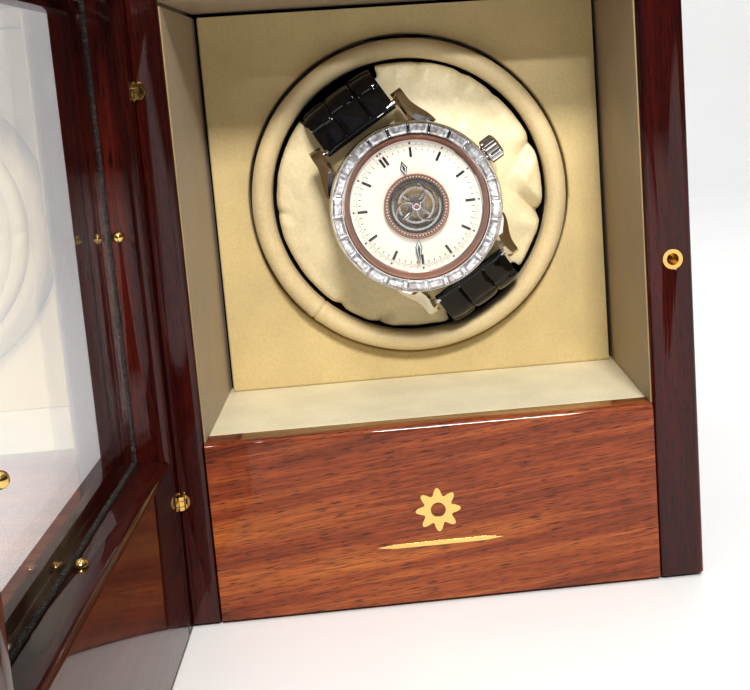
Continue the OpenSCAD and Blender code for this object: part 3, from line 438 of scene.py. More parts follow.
finish = {
    "post": mahogany("mahogany_upright", "mahogany", "Z", JAMB),
    "top": mahogany("mahogany_across", "mahogany", "X", JAMB),
    "rail": mahogany("mahogany_rail", "mahogany", "Y", JAMB),
    "front": mahogany("mahogany_front", "front_veneer", "X", PANEL, 0.16, (0, math.radians(6), 0)),
    "inner": mahogany("inner_wood", "inner_wood", "Y", INNER),
    # Linings: one cream leather, coloured darker on the sides and ceiling as painted shade and lighter on the
    # floor as painted light.
    "lining": leather("lining_leather_painted_shade", "lining", (0.36, 0.25, 0.125), 1.7, 0.25),
    "floor": leather("floor_leather_painted_light", "lining", (0.86, 0.80, 0.60), 1.7, 0.25),
    "fascia": leather("fascia_leather", "fascia_leather", CREAM, 1.5, 0.30, 0.05),
    "ring": leather("ring_leather", "cushion_leather", (0.74, 0.60, 0.35), 1.6, 0.20, 0.04),
    "cushion": leather("cushion_leather", "cushion_leather", (0.84, 0.73, 0.48), 1.25, 0.30, 0.12, 0.42),
    "brass": metal("brass", "brass", (0.86, 0.58, 0.20), 0.17),
    "gold": metal("gold_leaf", "gold_leaf", (0.93, 0.66, 0.24), 0.24, 0.08, 1.5),
    "steel": metal("polished_metal", "polished_metal", (0.86, 0.85, 0.85), 0.06, 0.03),
    "gilt": metal("gilt_metal", "gilt_metal", (0.80, 0.55, 0.20), 0.16),
    "grey_steel": metal("grey_steel", "polished_metal", (0.46, 0.46, 0.47), 0.16),
    "dish": metal("dark_gilt", "gilt_metal", (0.42, 0.28, 0.11), 0.26),
    "rose": metal("rose_metal", "rose_metal", (0.37, 0.175, 0.115), 0.52, 0.06),
    "silver": metal("hand_silver", "polished_metal", (0.86, 0.85, 0.83), 0.38),
    "bracket": metal("bracket_steel", "bracket_metal", (0.55, 0.56, 0.57), 0.32, 0.08, 1.0, "X"),
    "motor": metal("motor_steel", "motor_metal", (0.62, 0.63, 0.64), 0.28, 0.08, 1.0, "Y"),
    "screw": metal("screw_steel", "screw_steel", (0.68, 0.69, 0.71), 0.22),
    "bronze": metal("bronze", "bronze", (0.50, 0.28, 0.12), 0.30),
    "rubber": plastic("rubber", "rubber", (0.015, 0.015, 0.015), 0.7),
    "black": plastic("black_plastic", "black_plastic", (0.014, 0.014, 0.015), 0.38),
    "knob": plastic("knob_plastic", "knob_plastic", (0.022, 0.022, 0.025), 0.45),
    "white": plastic("white_plastic", "white_plastic", (0.78, 0.76, 0.70), 0.42),
    "board": plastic("board_green", "board_green", (0.02, 0.12, 0.05), 0.35),
    "wire": plastic("wire_red", "wire_red", (0.42, 0.02, 0.02), 0.4),
    "ink": plastic("marker_black", "marker_black", (0.006, 0.006, 0.008), 0.22, 4.0, 0.03),
    "hide": alligator(),
    "dial": opaline_dial(),
    "stone": cut_stone(),
    "glass": clear("door_glass", "glass", 1.52, 1.25),
    "crystal": clear("watch_crystal", "glass", 1.5, 0.55),
    "felt": felt(),
    "putty": putty(),
}


# ---------- drawing ----------

def smooth(mesh, angle):
    mesh.shade_smooth()
    mesh.set_sharp_from_angle(angle=math.radians(angle))


def add_piece(name, drawn, place, body, look, replaces=(), angle=30):
    """A mesh from (vertices, faces) in millimetres, put in place and set riding on its body."""
    vertices, faces = drawn
    mesh = bpy.data.meshes.new(name)
    mesh.from_pydata([place @ Vector(v) for v in vertices], [], faces)
    work = bmesh.new()
    work.from_mesh(mesh)
    bmesh.ops.remove_doubles(work, verts=work.verts, dist=1e-7)
    bmesh.ops.recalc_face_normals(work, faces=work.faces)
    work.to_mesh(mesh)
    work.free()
    smooth(mesh, angle)
    piece = linked(name, mesh)
    mesh.materials.append(finish[look].material)
    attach(piece, body)
    if replaces:
        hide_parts(*replaces)
    return piece


def joined(*drawings):
    """Several (vertices, faces) drawings as one."""
    vertices, faces = [], []
    for part_vertices, part_faces in drawings:
        start = len(vertices)
        vertices += part_vertices
        faces += [tuple(start + i for i in face) for face in part_faces]
    return vertices, faces


def moved(drawing, matrix):
    return [tuple(matrix @ Vector(v)) for v in drawing[0]], drawing[1]


def bridge(rows, loop=True, turn=True):
    """Faces between rows of points with equal counts. loop closes each row, turn joins last to first."""
    count, width = len(rows), len(rows[0])
    vertices = [p for row in rows for p in row]
    faces = []
    for i in range(count if turn else count - 1):
        for j in range(width if loop else width - 1):
            a, b = i * width, ((i + 1) % count) * width
            faces.append((a + j, a + (j + 1) % width, b + (j + 1) % width, b + j))
    return vertices, faces


def lathe(profile, steps=192, shape=None):
    """A closed (radius, z) profile turned about +Z. shape(angle, r, z) may change each point."""
    rows = []
    for i in range(steps):
        a = 2 * math.pi * i / steps
        row = []
        for r, z in profile:
            r, z = shape(a, r, z) if shape else (r, z)
            row.append((*polar(r, a), z))
        rows.append(row)
    return bridge(rows)


def polar(r, a):
    return r * math.cos(a), r * math.sin(a)


def arc(cx, cy, r, start, end, n=6):
    """Points along an arc, in degrees."""
    angles = [math.radians(start + (end - start) * i / n) for i in range(n + 1)]
    return [(cx + r * math.cos(a), cy + r * math.sin(a)) for a in angles]


def prism(outline, z0, z1, inset=0.0, crown=0.0):
    """An outline raised from z0 to z1, its top edge drawn in by inset over crown."""
    n = len(outline)
    cx = sum(p[0] for p in outline) / n
    cy = sum(p[1] for p in outline) / n
    span = max(math.hypot(x - cx, y - cy) for x, y in outline)
    k = 1 - inset / span
    rows = [[(x, y, z0) for x, y in outline], [(x, y, z1 - crown) for x, y in outline]]
    if inset:
        rows.append([(cx + (x - cx) * k, cy + (y - cy) * k, z1) for x, y in outline])
    vertices, faces = bridge(rows, turn=False)
    faces += [tuple(range(n))[::-1], tuple(range(len(vertices) - n, len(vertices)))]
    return vertices, faces


def softened(node, width, look, segments=2, limit=40):
    """A copy of a CAD node with its sharp edges rounded, which stands for that node."""
    source = frame["nodes"][node]
    name = node + "_finished"
    mesh = bpy.data.meshes.new(name)
    work = bmesh.new()
    work.from_mesh(source.data)
    bmesh.ops.remove_doubles(work, verts=work.verts, dist=2e-6)
    bmesh.ops.dissolve_limit(work, angle_limit=math.radians(1), verts=work.verts, edges=work.edges)
    work.to_mesh(mesh)
    work.free()
    piece = linked(name, mesh)
    smooth(mesh, limit)
    rounding = piece.modifiers.new("rounding", "BEVEL")
    rounding.width = width * MM
    rounding.segments = segments
    rounding.limit_method = "ANGLE"
    rounding.angle_limit = math.radians(limit)
    rounding.harden_normals = True
    done = baked(piece)
    done.materials.clear()
    done.materials.append(finish[look].material)
    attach(piece, source["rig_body"])
    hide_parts(node)
    return piece


def dress(look, *nodes):
    """Gives CAD nodes that keep their own shape a material."""
    for node in nodes:
        mesh = frame["nodes"][node].data
        mesh.materials.clear()
        mesh.materials.append(finish[look].material)


# ---------- case and door ----------

def add_case():
    for node in ("side_panel_left", "side_panel_right"):
        softened(node, 0.35, "post", 3)
    softened("back_panel", 0.25, "post")
    softened("top_panel", 0.3, "top", 3)
    softened("front_base_panel", 0.15, "front")
    softened("bottom_panel", 0.3, "inner")
    softened("niche_floor_board", 0.3, "inner")
    softened("base_pad", 0.2, "felt")
    softened("front_emblem", 0.05, "gold", 2, 30)
    # The side and ceiling linings take the leather darkened as painted shade, the floor lining the leather
    # lightened as painted light.
    for side in ("left", "right", "ceiling"):
        softened("lining_" + side, 0.12, "lining")
    softened("lining_floor", 0.35, "floor", 3)
    softened("case_hinge_barrels", 0.12, "brass")
    softened("hinge_pins", 0.1, "bronze")
    dress("brass", "catch_socket")


def add_fascia():
    """Leather-covered board with soft edges round its outline and round the drum's hole."""
    softened("fascia_panel", 1.3, "fascia", 5)


def add_door():
    for node in ("door_hinge_stile", "door_free_stile"):
        softened(node, 0.35, "post", 3)
    for node in ("door_top_rail", "door_bottom_rail"):
        softened(node, 0.3, "rail", 3)
    softened("door_glass", 0.25, "glass")
    softened("door_hinge_barrels", 0.12, "brass")
    softened("door_catch_pin", 0.15, "brass")
    add_bead()
    dress("brass", "glazing_pins")


def add_bead():
    """Hand-laid putty round the glass: four runs with a ragged edge."""
    lo, hi = (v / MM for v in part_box("glazing_bead"))
    face_x = hi.x
    runs = [((lo.y, lo.z), (hi.y, lo.z), (0, 1)), ((hi.y, lo.z), (hi.y, hi.z), (-1, 0)),
            ((hi.y, hi.z), (lo.y, hi.z), (0, -1)), ((lo.y, hi.z), (lo.y, lo.z), (1, 0))]
    drawings = []
    for (y0, z0), (y1, z1), (iy, iz) in runs:
        length = math.hypot(y1 - y0, z1 - z0)
        steps = int(length / 0.45)
        rows = []
        for i in range(steps + 1):
            t = i / steps
            y, z = y0 + (y1 - y0) * t, z0 + (z1 - z0) * t
            ragged = noise.noise(Vector((y * 0.9, z * 0.9, 1.0)))
            lumps = noise.noise(Vector((y * 2.3, z * 2.3, 5.0)))
            reach = 1.05 + 0.55 * ragged + 0.25 * lumps
            height = 0.52 + 0.16 * lumps
            section = [(0.0, 0.02), (0.0, height * 0.9), (reach * 0.35, height),
                       (reach * 0.75, height * 0.55), (reach, 0.02)]
            rows.append([(face_x - 0.6 + up, y + iy * off, z + iz * off) for off, up in section])
        drawings.append(bridge(rows, turn=False))
    add_piece("putty_bead", joined(*drawings), IN_FRAME, "door", "putty", ("glazing_bead",), 60)


# ---------- drum ----------

def add_ring():
    """Leather rim drawn round a core, with one butted seam at the lower left."""
    outer = (ring_hi.x - ring_lo.x) / 2 / MM
    inner = outer - 4.9
    rim = (outer - inner) / 2
    depth = (ring_hi.y - ring_lo.y) / MM
    seam = math.radians(227)

    def shape(a, r, z):
        gap = math.atan2(math.sin(a - seam), math.cos(a - seam)) * outer
        pinch = 0.30 * math.exp(-(gap / 0.28) ** 2) - 0.10 * math.exp(-((abs(gap) - 1.0) / 0.7) ** 2)
        swell = 0.07 * noise.noise(Vector((4 * math.cos(a), 4 * math.sin(a), 0.4)))
        if z > -2 * rim:
            cx, cz = (outer + inner) / 2, -rim
            k = (rim - 0.10 - pinch + swell) / rim
            return cx + (r - cx) * k, cz + (z - cz) * k
        return r, z

    front = arc((outer + inner) / 2, -rim, rim, 180, 0, 28)
    profile = [(inner, -depth + 0.2)] + front + [(outer, -depth + 0.2)]
    add_piece("drum_rim", lathe(profile, 720, shape), ON_DRUM, "drum", "ring", ("drum_ring",), 60)
    dress("rubber", "drum_cup")


# ---------- cushion ----------

PLEATS = [  # angle seen from the front, depth and half width in millimetres, lean, where it starts
    (83, 0.9, 1.1, 0.2, 27.0), (63, 1.1, 1.2, -0.3, 26.0), (47, 1.0, 1.1, 0.3, 26.5),
    (20, 2.4, 1.5, -0.5, 21.5), (-11, 4.0, 1.4, 0.6, 20.5), (-75, 1.1, 1.1, -0.3, 26.5),
    (-108, 1.4, 1.2, 0.3, 26.0), (-127, 1.7, 1.2, -0.3, 25.0), (-177, 1.0, 1.0, 0.2, 27.5),
]
CUP_REACH = 32.75       # the furthest out the cushion may stand in the cup
STRAP_REACH = (28.4, 26.9)      # the furthest out it may stand under the upper and the lower strap
HELD_DEPTH = 19         # the pad is held where it is deeper than this behind the watch's back


def step(x, low, high):
    t = min(1.0, max(0.0, (x - low) / (high - low)))
    return t * t * (3 - 2 * t)


def cushion_form():
    """Closed domed pad in the holder's frame: face, rolled rim, and side down into the cup."""
    dome, reach = 76.0, 32.2
    profile = []
    for i in range(34):
        r = 29.5 * i / 33
        profile.append((r, -0.6 - dome + math.sqrt(dome * dome - r * r)))
    top = profile[-1][1]
    profile += [(reach - 2.7 + 2.7 * math.sin(a), top - 3.2 + 3.2 * math.cos(a))
                for a in (math.radians(10 + 80 * i / 7) for i in range(8))]
    profile += [(reach - 0.3 * i, top - 3.2 - 2.2 * i) for i in range(1, 6)]
    profile.append((0.01, top - 14.2))
    return lathe(profile, 180)


def inflate(piece, frames, pressure, limit, pinned):
    """Runs cloth with pressure and no gravity, keeps points within limit of where they began."""
    start = [v.co.copy() for v in piece.data.vertices]
    group = piece.vertex_groups.new(name="pinned")
    group.add([i for i, p in enumerate(start) if pinned(p)], 1.0, "REPLACE")
    cloth = piece.modifiers.new("cloth", "CLOTH")
    cloth.settings.quality = 6
    cloth.settings.mass = 0.05
    cloth.settings.use_pressure = True
    cloth.settings.uniform_pressure_force = pressure
    cloth.settings.effector_weights.gravity = 0.0
    cloth.settings.vertex_group_mass = "pinned"
    cloth.settings.shrink_min = -0.05
    cloth.settings.bending_stiffness = 0.05
    cloth.point_cache.frame_start = 1
    cloth.point_cache.frame_end = frames
    scene = bpy.context.scene
    for i in range(1, frames + 1):
        scene.frame_set(i)
    done = evaluated(piece)
    piece.modifiers.clear()
    piece.vertex_groups.clear()
    for v, p in zip(piece.data.vertices, start):
        shift = done.vertices[v.index].co - p
        if shift.length > limit:
            shift *= limit / shift.length
        v.co = p + shift
    bpy.data.meshes.remove(done)
    scene.frame_set(1)


def fill_cup(piece, place, reach):
    """Presses the swollen rim outwards, so that it fills the cup to the given radius."""
    back = place.inverted()
    spots = [back @ v.co for v in piece.data.vertices]
    radii = sorted(math.hypot(p.x, p.y) for p in spots)
    rim = radii[int(0.97 * len(radii))]
    for v, p in zip(piece.data.vertices, spots):
        r = math.hypot(p.x, p.y)
        k = 1 + (reach / rim - 1) * step(r, 12.0, rim)
        v.co = place @ Vector((p.x * k, p.y * k, p.z))


def sew_pleats(piece, place, watch_place):
    """Gathers the rim into pleats and clears the space of the strap and the watch."""
    back = place.inverted()
    to_watch = watch_place.inverted()
    for v in piece.data.vertices:
        p = back @ v.co
        r = math.hypot(p.x, p.y)
        if r < 1e-3:
            continue
        seen = math.degrees(math.atan2(p.y, p.x)) + math.degrees(WATCH_ROLL)
        rim = step(r, 24.0, 31.5)
        sink = 0.0
        for angle, depth, half, lean, begin in PLEATS:
            off = (seen - angle + 180) % 360 - 180
            across = math.radians(off) * r - lean * (32 - r)
            if abs(across) > 12:
                continue
            wide = half * (1.0 + 0.8 * (1 - rim))
            swell = math.exp(-((abs(across) - 2.6 * wide) / (1.5 * wide)) ** 2)
            valley = math.exp(-abs(across) / wide) - 0.35 * swell
            sink += depth * valley * step(r, begin, 31.8)
        ripple = noise.noise(Vector((seen * 0.16, r * 0.10, 2.0))) * 0.35 * rim
        fine = noise.noise(Vector((p.x * 0.22, p.y * 0.22, 3.0))) * 0.20
        depth_side = 1.0 if p.z > -16 else max(0.0, 1 + (p.z + 16) / 4)
        p.z -= (sink * (1 - 0.4 * step(-p.z, 8, 14)) - ripple - fine) * depth_side
        shrink = max(0.0, min(sink, 3.0)) * 0.24 * step(r, 26, 32) * depth_side
        k = (r - shrink) / r
        p.x *= k
        p.y *= k
        v.co = place @ p
        w = to_watch @ v.co
        side = 10.4 + 0.25 * noise.noise(Vector((w.y, 1, 1)))
        free = STRAP_REACH[0 if w.y > 0 else 1] + 7 * step(abs(w.x), side - 0.3, side + 2.0)
        if abs(w.y) > free:
            w.y = math.copysign(free + 0.04 * (abs(w.y) - free), w.y)
        under = -0.45 if math.hypot(w.x, w.y) < 20.5 or (abs(w.x) < 13.5 and abs(w.y) < 27) else 2.0
        w.z = min(w.z, under)
        v.co = watch_place @ w
        p = back @ v.co
        r = math.hypot(p.x, p.y)
        if r > CUP_REACH:
            p.x *= CUP_REACH / r
            p.y *= CUP_REACH / r
            v.co = place @ p


def add_cushion():
    piece = add_piece("watch_pillow", cushion_form(), ON_HOLDER, "holder", "cushion", ("watch_cushion",), 180)
    held_from_y = watch_back_y + HELD_DEPTH * MM
    remesh = piece.modifiers.new("remesh", "REMESH")
    remesh.mode = "VOXEL"
    remesh.voxel_size = 1.0 * MM
    baked(piece)
    inflate(piece, frames=20, pressure=4.0, limit=1.6 * MM, pinned=lambda p: p.y > held_from_y)
    fill_cup(piece, ON_HOLDER, reach=32.3)
    divide = piece.modifiers.new("divide", "SUBSURF")
    divide.levels = 1
    fine = baked(piece)
    sew_pleats(piece, ON_HOLDER, ON_WATCH)
    fine.materials.clear()
    fine.materials.append(finish["cushion"].material)
    fine.shade_smooth()


# ---------- watch ----------

DIAL_Z = 9.0            # the dial's face over the watch's back
STONES = 24
BAR_Y, BAR_Z = 21.5, 3.0        # spring bars, from the watch's axis and over its back


def on_watch(name, drawn, look, replaces=(), angle=30):
    """A piece drawn from the watch's back that rides with the cushion."""
    return add_piece(name, drawn, ON_WATCH, "holder", look, replaces, angle)


def lug(sx, sy):
    """One lug: a ridged blade that tapers from the case to the end of the spring bar."""
    rows = []
    steps = 18
    for i in range(steps + 1):
        t = i / steps
        y = 13.0 + 10.6 * t
        width = 5.0 - 2.2 * step(t, 0.0, 0.75)
        top = 9.1 - 5.3 * t ** 1.7
        low = 1.3 - 0.6 * t
        facet = 0.5 + 1.5 * math.sin(math.pi * min(1.0, t * 1.1)) ** 2
        close = 1.0 - 0.62 * step(t, 0.88, 1.0) ** 2
        mid = (top + low) / 2
        top, low = mid + (top - mid) * close, mid + (low - mid) * close
        x0, x1 = 10.15, 10.15 + width
        ridge = x0 + 0.45 * (x1 - facet - x0)
        section = [(x0, low + 0.3), (x0, top - 0.85), (ridge, top), (x1 - facet, top - 0.15),
                   (x1, top - 0.15 - facet * 0.9), (x1, low + 0.5), (x1 - 0.5, low)]
        rows.append([(sx * x, sy * y, z) for x, z in section])
    vertices, faces = bridge(rows, turn=False)
    n = len(rows[0])
    faces += [tuple(range(n)), tuple(range(len(vertices) - n, len(vertices)))]
    return vertices, faces


def add_case_and_bezel():
    middle = [(16.3, 0.6), (16.3, 9.45), (18.5, 9.45), (18.75, 9.3)] + arc(18.1, 8.0, 1.1, 60, 0, 4)
    middle += [(19.2, 5.2)] + arc(17.6, 2.8, 1.6, 0, -75, 6) + [(17.2, 0.6)]
    lugs = [lug(sx, sy) for sx in (-1, 1) for sy in (-1, 1)]
    back = [(0.01, 0.02), (0.01, 0.9), (16.4, 0.9), (16.6, 0.6), (16.2, 0.25), (15.6, 0.02)]
    on_watch("case_middle", joined(lathe(middle, 256), lathe(back, 128), *lugs), "steel", ("watch_case",), 24)
    rim = [(16.42, 9.55), (19.3, 9.55)] + arc(19.2, 9.85, 0.3, -90, 0, 4) + [(19.5, 11.0)]
    rim += [(19.42, 11.25), (19.14, 12.42), (19.06, 12.55), (19.0, 12.55), (18.97, 12.1), (16.72, 12.1),
            (16.7, 12.5), (16.66, 12.55), (16.5, 12.55), (16.42, 12.45)]
    on_watch("bezel_rim", lathe(rim, 256), "steel", ("watch_bezel",), 24)


def baguette(a, half, r0, r1):
    """A step-cut stone across the bezel's channel, centred on angle a."""
    rows = []
    for z, inset in ((12.12, 0.25), (12.52, 0.0), (12.6, 0.0), (12.82, 0.22), (12.95, 0.52)):
        q0, q1 = r0 + inset, r1 - inset
        rows.append([(*polar(r, a + s * (half - inset / r)), z)
                     for r, s in ((q0, -1), (q1, -1), (q1, 1), (q0, 1))])
    vertices, faces = bridge(rows, turn=False)
    faces += [(3, 2, 1, 0), tuple(range(len(vertices) - 4, len(vertices)))]
    return vertices, faces


def bead_dot(x, y, z, r, squash=0.8, steps=10):
    """A small dome standing on z."""
    profile = [(0.001, 0.0)] + [(r * math.cos(t), r * squash * math.sin(t))
                                for t in (math.radians(90 * i / 4) for i in range(5))]
    return moved(lathe(profile, steps), Matrix.Translation((x, y, z)))


def add_bezel_stones():
    pitch = math.radians(360 / STONES)
    seam, inner, outer = 0.018, 16.78, 18.92
    stones = [baguette((i + 0.5) * pitch, pitch / 2 - seam, inner, outer) for i in range(STONES)]
    on_watch("baguettes", joined(*stones), "stone", ("bezel_stones",), 5)
    claws = []
    for i in range(STONES):
        a = i * pitch
        for r in (17.0, 18.7):
            claws.append(bead_dot(*polar(r, a), 12.6, 0.2))
    on_watch("stone_claws", joined(*claws), "steel")


def bar_mark(r0, r1, half, a, height=0.16, bevel=0.05):
    outline = [(-half, r0), (half, r0), (half, r1), (-half, r1)]
    return moved(prism(outline, DIAL_Z, DIAL_Z + height, bevel, bevel), Matrix.Rotation(a, 4, "Z"))


def thin_ring(r, width):
    top = DIAL_Z + 0.02
    return lathe([(r, DIAL_Z), (r + width, DIAL_Z), (r + width, top), (r, top)], 180)


def add_dial():
    plate = [(6.45, 8.65), (6.45, 8.98), (6.5, 9.0), (14.95, 9.0), (16.1, 9.0), (16.1, 8.65)]
    on_watch("dial_plate", lathe(plate, 256), "dial", ("dial",))
    marks = []
    for hour in range(12):
        spin = Matrix.Rotation(-math.radians(30 * hour), 4, "Z")
        for side in (-0.46, 0.46) if hour == 0 else (0.0,):
            marks.append(moved(bar_mark(11.2, 13.4, 0.29, 0.0), spin @ Matrix.Translation((side, 0, 0))))
        for side in (-0.4, 0.4) if hour == 0 else (0.0,):
            spot = spin @ Vector((side, 14.35, DIAL_Z))
            marks.append(bead_dot(spot.x, spot.y, spot.z, 0.24, 0.5))
    for minute in range(60):
        a = -math.radians(6 * minute)
        if minute % 5:
            marks.append(bar_mark(12.65, 13.3, 0.07, a, 0.02, 0.0))
        marks.append(bar_mark(13.95, 14.45, 0.035, a, 0.02, 0.0))
    marks += [thin_ring(13.55, 0.05), thin_ring(13.92, 0.035)]
    on_watch("dial_marks", joined(*marks), "ink", ("dial_markers",))
    rehaut = [(15.05, 9.0), (14.95, 9.95), (15.1, 10.05), (15.3, 9.95), (15.3, 9.0)]
    on_watch("rehaut", lathe(rehaut, 256), "steel")
    slope = [(15.3, 9.0), (15.3, 9.9), (16.0, 11.75), (16.28, 11.8), (16.28, 9.0)]
    on_watch("flange", lathe(slope, 256), "rose", ("flange_ring",))
    pave = [(6.5, 9.0), (6.42, 9.25), (6.5, 9.32), (7.05, 9.32), (7.15, 9.25), (7.15, 9.0)]
    on_watch("aperture_ring", lathe(pave, 192), "rose")
    dots = []
    for i in range(60):
        a = math.radians(6 * i)
        dots.append(bead_dot(*polar(6.78, a), 9.3, 0.2, 0.7, 8))
    on_watch("aperture_stones", joined(*dots), "silver")
    dish = [(6.4, 8.9), (6.3, 8.9), (5.95, 4.4), (5.0, 4.3), (0.01, 4.25), (0.01, 4.2), (6.4, 4.2)]
    on_watch("movement_dish", lathe(dish, 128), "dish", (), 20)
    # Black ring over the gap between the carriage and the dial: painted shade where the dish below would lie
    # in shadow.
    shade = [(5.74, 8.6), (6.28, 8.6), (6.28, 8.92), (5.74, 8.92)]
    on_watch("aperture_painted_shade", lathe(shade, 128), "ink")


def add_crystal():
    edge = [(0.01, 11.95), (16.2, 11.95), (16.25, 12.0), (16.25, 12.9), (16.05, 13.12), (12.0, 13.16),
            (0.01, 13.19)]
    on_watch("sapphire_crystal", lathe(edge, 256), "crystal", ("crystal",))


def arrow(r_in, r_wide, r_out, half):
    """Dart of a hand: a flat body, and a smaller core that stands a little higher."""
    outline = [(0.0, r_in), (half, r_wide), (0.0, r_out), (-half, r_wide)]
    body = prism(outline, 0.0, 0.10)
    inner = 0.34
    mid = (r_in + r_out) / 2
    core = prism([(x * inner, mid + (y - mid) * 0.62) for x, y in outline], 0.09, 0.15)
    return body, core


def add_hands():
    """Each hand: a black dart with a silver face and a black core, on the thin ring that carries it."""
    hands = [("hour_disc", -17.8, 9.72, (7.4, 9.1, 10.8, 0.84)),
             ("minute_disc", -213.6, 10.38, (7.4, 9.3, 13.2, 0.80))]
    for disc, turn, z, dart in hands:
        place = ON_WATCH @ Matrix.Rotation(math.radians(turn), 4, "Z") @ Matrix.Translation((0, 0, z))
        body, core = arrow(*dart)
        add_piece(disc + "_dart", body, place, disc, "ink", (disc,), 10)
        raised = Matrix.Translation((0, 0, 0.03))
        shine = moved(arrow(dart[0] + 0.2, dart[1], dart[2] - 0.5, dart[3] * 0.72)[0], raised)
        add_piece(disc + "_shine", shine, place, disc, "silver", (), 10)
        add_piece(disc + "_core", moved(core, raised), place, disc, "ink", (), 10)
        mount = [(7.2, -0.14), (7.42, -0.14), (7.42, 0.0), (7.2, 0.0)]
        add_piece(disc + "_mount", lathe(mount, 192), place, disc, "rose")


def add_tourbillon():
    """Carriage: rim, three curved arms, balance with screws, hub jewel and the seconds dart."""
    rim = lathe([(5.15, 8.5), (5.65, 8.5), (5.65, 8.95), (5.2, 9.0)], 128)
    under = lathe([(5.2, 4.65), (5.65, 4.65), (5.65, 5.1), (5.2, 5.1)], 96)
    arms = []
    for i in range(3):
        rows = []
        for j in range(15):
            t = j / 14
            r = 0.9 + 4.5 * t
            a = 2 * math.pi * i / 3 + 1.0 * t * t
            half = 0.22 + 0.24 * abs(2 * t - 1) ** 3
            c = Vector((*polar(r, a), 0))
            n = Vector((-math.sin(a), math.cos(a), 0)) * half
            rows.append([(c.x + n.x, c.y + n.y, 8.55), (c.x + n.x * 0.6, c.y + n.y * 0.6, 8.98),
                         (c.x - n.x * 0.6, c.y - n.y * 0.6, 8.98), (c.x - n.x, c.y - n.y, 8.55)])
        vertices, faces = bridge(rows, turn=False)
        arms.append((vertices, faces + [(0, 1, 2, 3), tuple(range(len(vertices) - 4, len(vertices)))]))
        post = moved(lathe([(0.01, 4.9), (0.28, 4.9), (0.28, 8.6), (0.01, 8.6)], 12),
                     Matrix.Translation((*polar(5.35, a), 0)))
        arms.append(post)
    add_piece("carriage", joined(rim, under, *arms), ON_WATCH, "tourbillon_cage", "grey_steel",
              ("tourbillon_cage",), 24)
    wheel = [lathe([(3.75, 6.5), (4.25, 6.5), (4.25, 7.0), (3.75, 7.0)], 96)]
    spoke = prism([(-4, -0.22), (4, -0.22), (4, 0.22), (-4, 0.22)], 6.55, 6.95, 0.05, 0.05)
    wheel += [moved(spoke, Matrix.Rotation(math.radians(a), 4, "Z")) for a in (20, 110)]
    screw_r, pitch = 4.35, 0.785
    wheel += [bead_dot(*polar(screw_r, k * pitch), 6.55, 0.3, 1.2)
              for k in range(8)]
    coils = []
    for j in range(161):
        a, r = j * 0.2, 0.8 + 1.9 * j / 160
        coils.append([(*polar(r + d, a), z)
                      for d, z in ((0, 7.2), (0.09, 7.2), (0.09, 7.45), (0, 7.45))])
    wheel.append(bridge(coils, turn=False))
    add_piece("balance_wheel", joined(*wheel), ON_WATCH, "tourbillon_cage", "grey_steel", (), 24)
    hub = [(0.35, 8.6), (1.1, 8.6), (1.1, 9.15), (0.95, 9.3), (0.7, 9.32), (0.6, 9.15), (0.35, 9.1)]
    add_piece("hub_ring", lathe(hub, 64), ON_WATCH, "tourbillon_cage", "steel", (), 24)
    add_piece("hub_jewel", bead_dot(0, 0, 9.0, 0.6, 0.35, 32), ON_WATCH, "tourbillon_cage", "rose")
    point = Matrix.Rotation(math.radians(98), 4, "Z") @ Matrix.Translation((0, 0, 9.05))
    body, core = arrow(1.1, 2.4, 5.5, 0.5)
    add_piece("seconds_dart", moved(body, point), ON_WATCH, "tourbillon_cage", "ink", (), 10)
    add_piece("seconds_core", moved(core, point), ON_WATCH, "tourbillon_cage", "steel", (), 10)


def add_crown():
    """Fluted crown with a domed, chamfered end."""
    def flutes(a, r, z):
        if r > 2.6 and 0.35 < z < 3.35:
            r -= 0.24 * (0.5 - 0.5 * math.cos(20 * a)) ** 0.7
        return r, z

    sides = [(2.95, 0.36 + 2.98 * i / 6) for i in range(7)]
    profile = [(0.01, -0.4), (2.1, -0.4), (2.3, 0.0), (2.75, 0.05), (2.93, 0.3)] + sides
    profile += [(2.85, 3.42), (2.5, 3.62), (2.45, 3.75), (1.8, 4.0), (0.01, 4.1)]
    place = ON_WATCH @ Matrix.Translation((19.7, 0, 5.5)) @ Matrix.Rotation(math.radians(90), 4, "Y")
    add_piece("fluted_crown", lathe(profile, 240, flutes), place, "crown", "steel", ("crown",), 40)


# ---------- strap ----------

def strap_path(side, off, reach):
    """Centre line of half a strap as (distance, y, z, outward y, outward z)."""
    slope, bend, turn = math.radians(25), 7.0, 6.0
    back = -43.0 - off
    cy = side - bend
    start_y = cy + bend * math.sin(slope)
    cz = BAR_Z - (start_y - BAR_Y) * math.tan(slope) - bend * math.cos(slope)
    run = (start_y - BAR_Y) / math.cos(slope)
    lengths = [run, bend * (math.pi / 2 - slope), cz - (back + turn), turn * math.pi / 2, side - turn + reach]
    total = sum(lengths)
    points = []
    distance = -1.2
    while distance <= total:
        d = distance
        if d <= lengths[0]:
            y, z, a = BAR_Y + d * math.cos(slope), BAR_Z - d * math.sin(slope), math.pi / 2 - slope
        elif d <= sum(lengths[:2]):
            a = math.pi / 2 - slope - (d - lengths[0]) / bend
            y, z = cy + bend * math.cos(a), cz + bend * math.sin(a)
        elif d <= sum(lengths[:3]):
            y, z, a = side, cz - (d - sum(lengths[:2])), 0.0
        elif d <= sum(lengths[:4]):
            a = -(d - sum(lengths[:3])) / turn
            y, z = side - turn + turn * math.cos(a), back + turn + turn * math.sin(a)
        else:
            y, z, a = side - turn - (d - sum(lengths[:4])), back, -math.pi / 2
        points.append((d, y, z, math.cos(a), math.sin(a)))
        distance += 0.30
    return points


def scale_rows(seed):
    """Places of the cross grooves in each of the three columns of scales."""
    pick = random.Random(seed)
    rows = []
    for column in range(3):
        places, at = [], -1.0 + 2.0 * pick.random()
        while at < 110:
            at += (6.0 if column == 1 else 4.8) + 2.6 * pick.random()
            places.append(at)
        rows.append(places)
    return rows


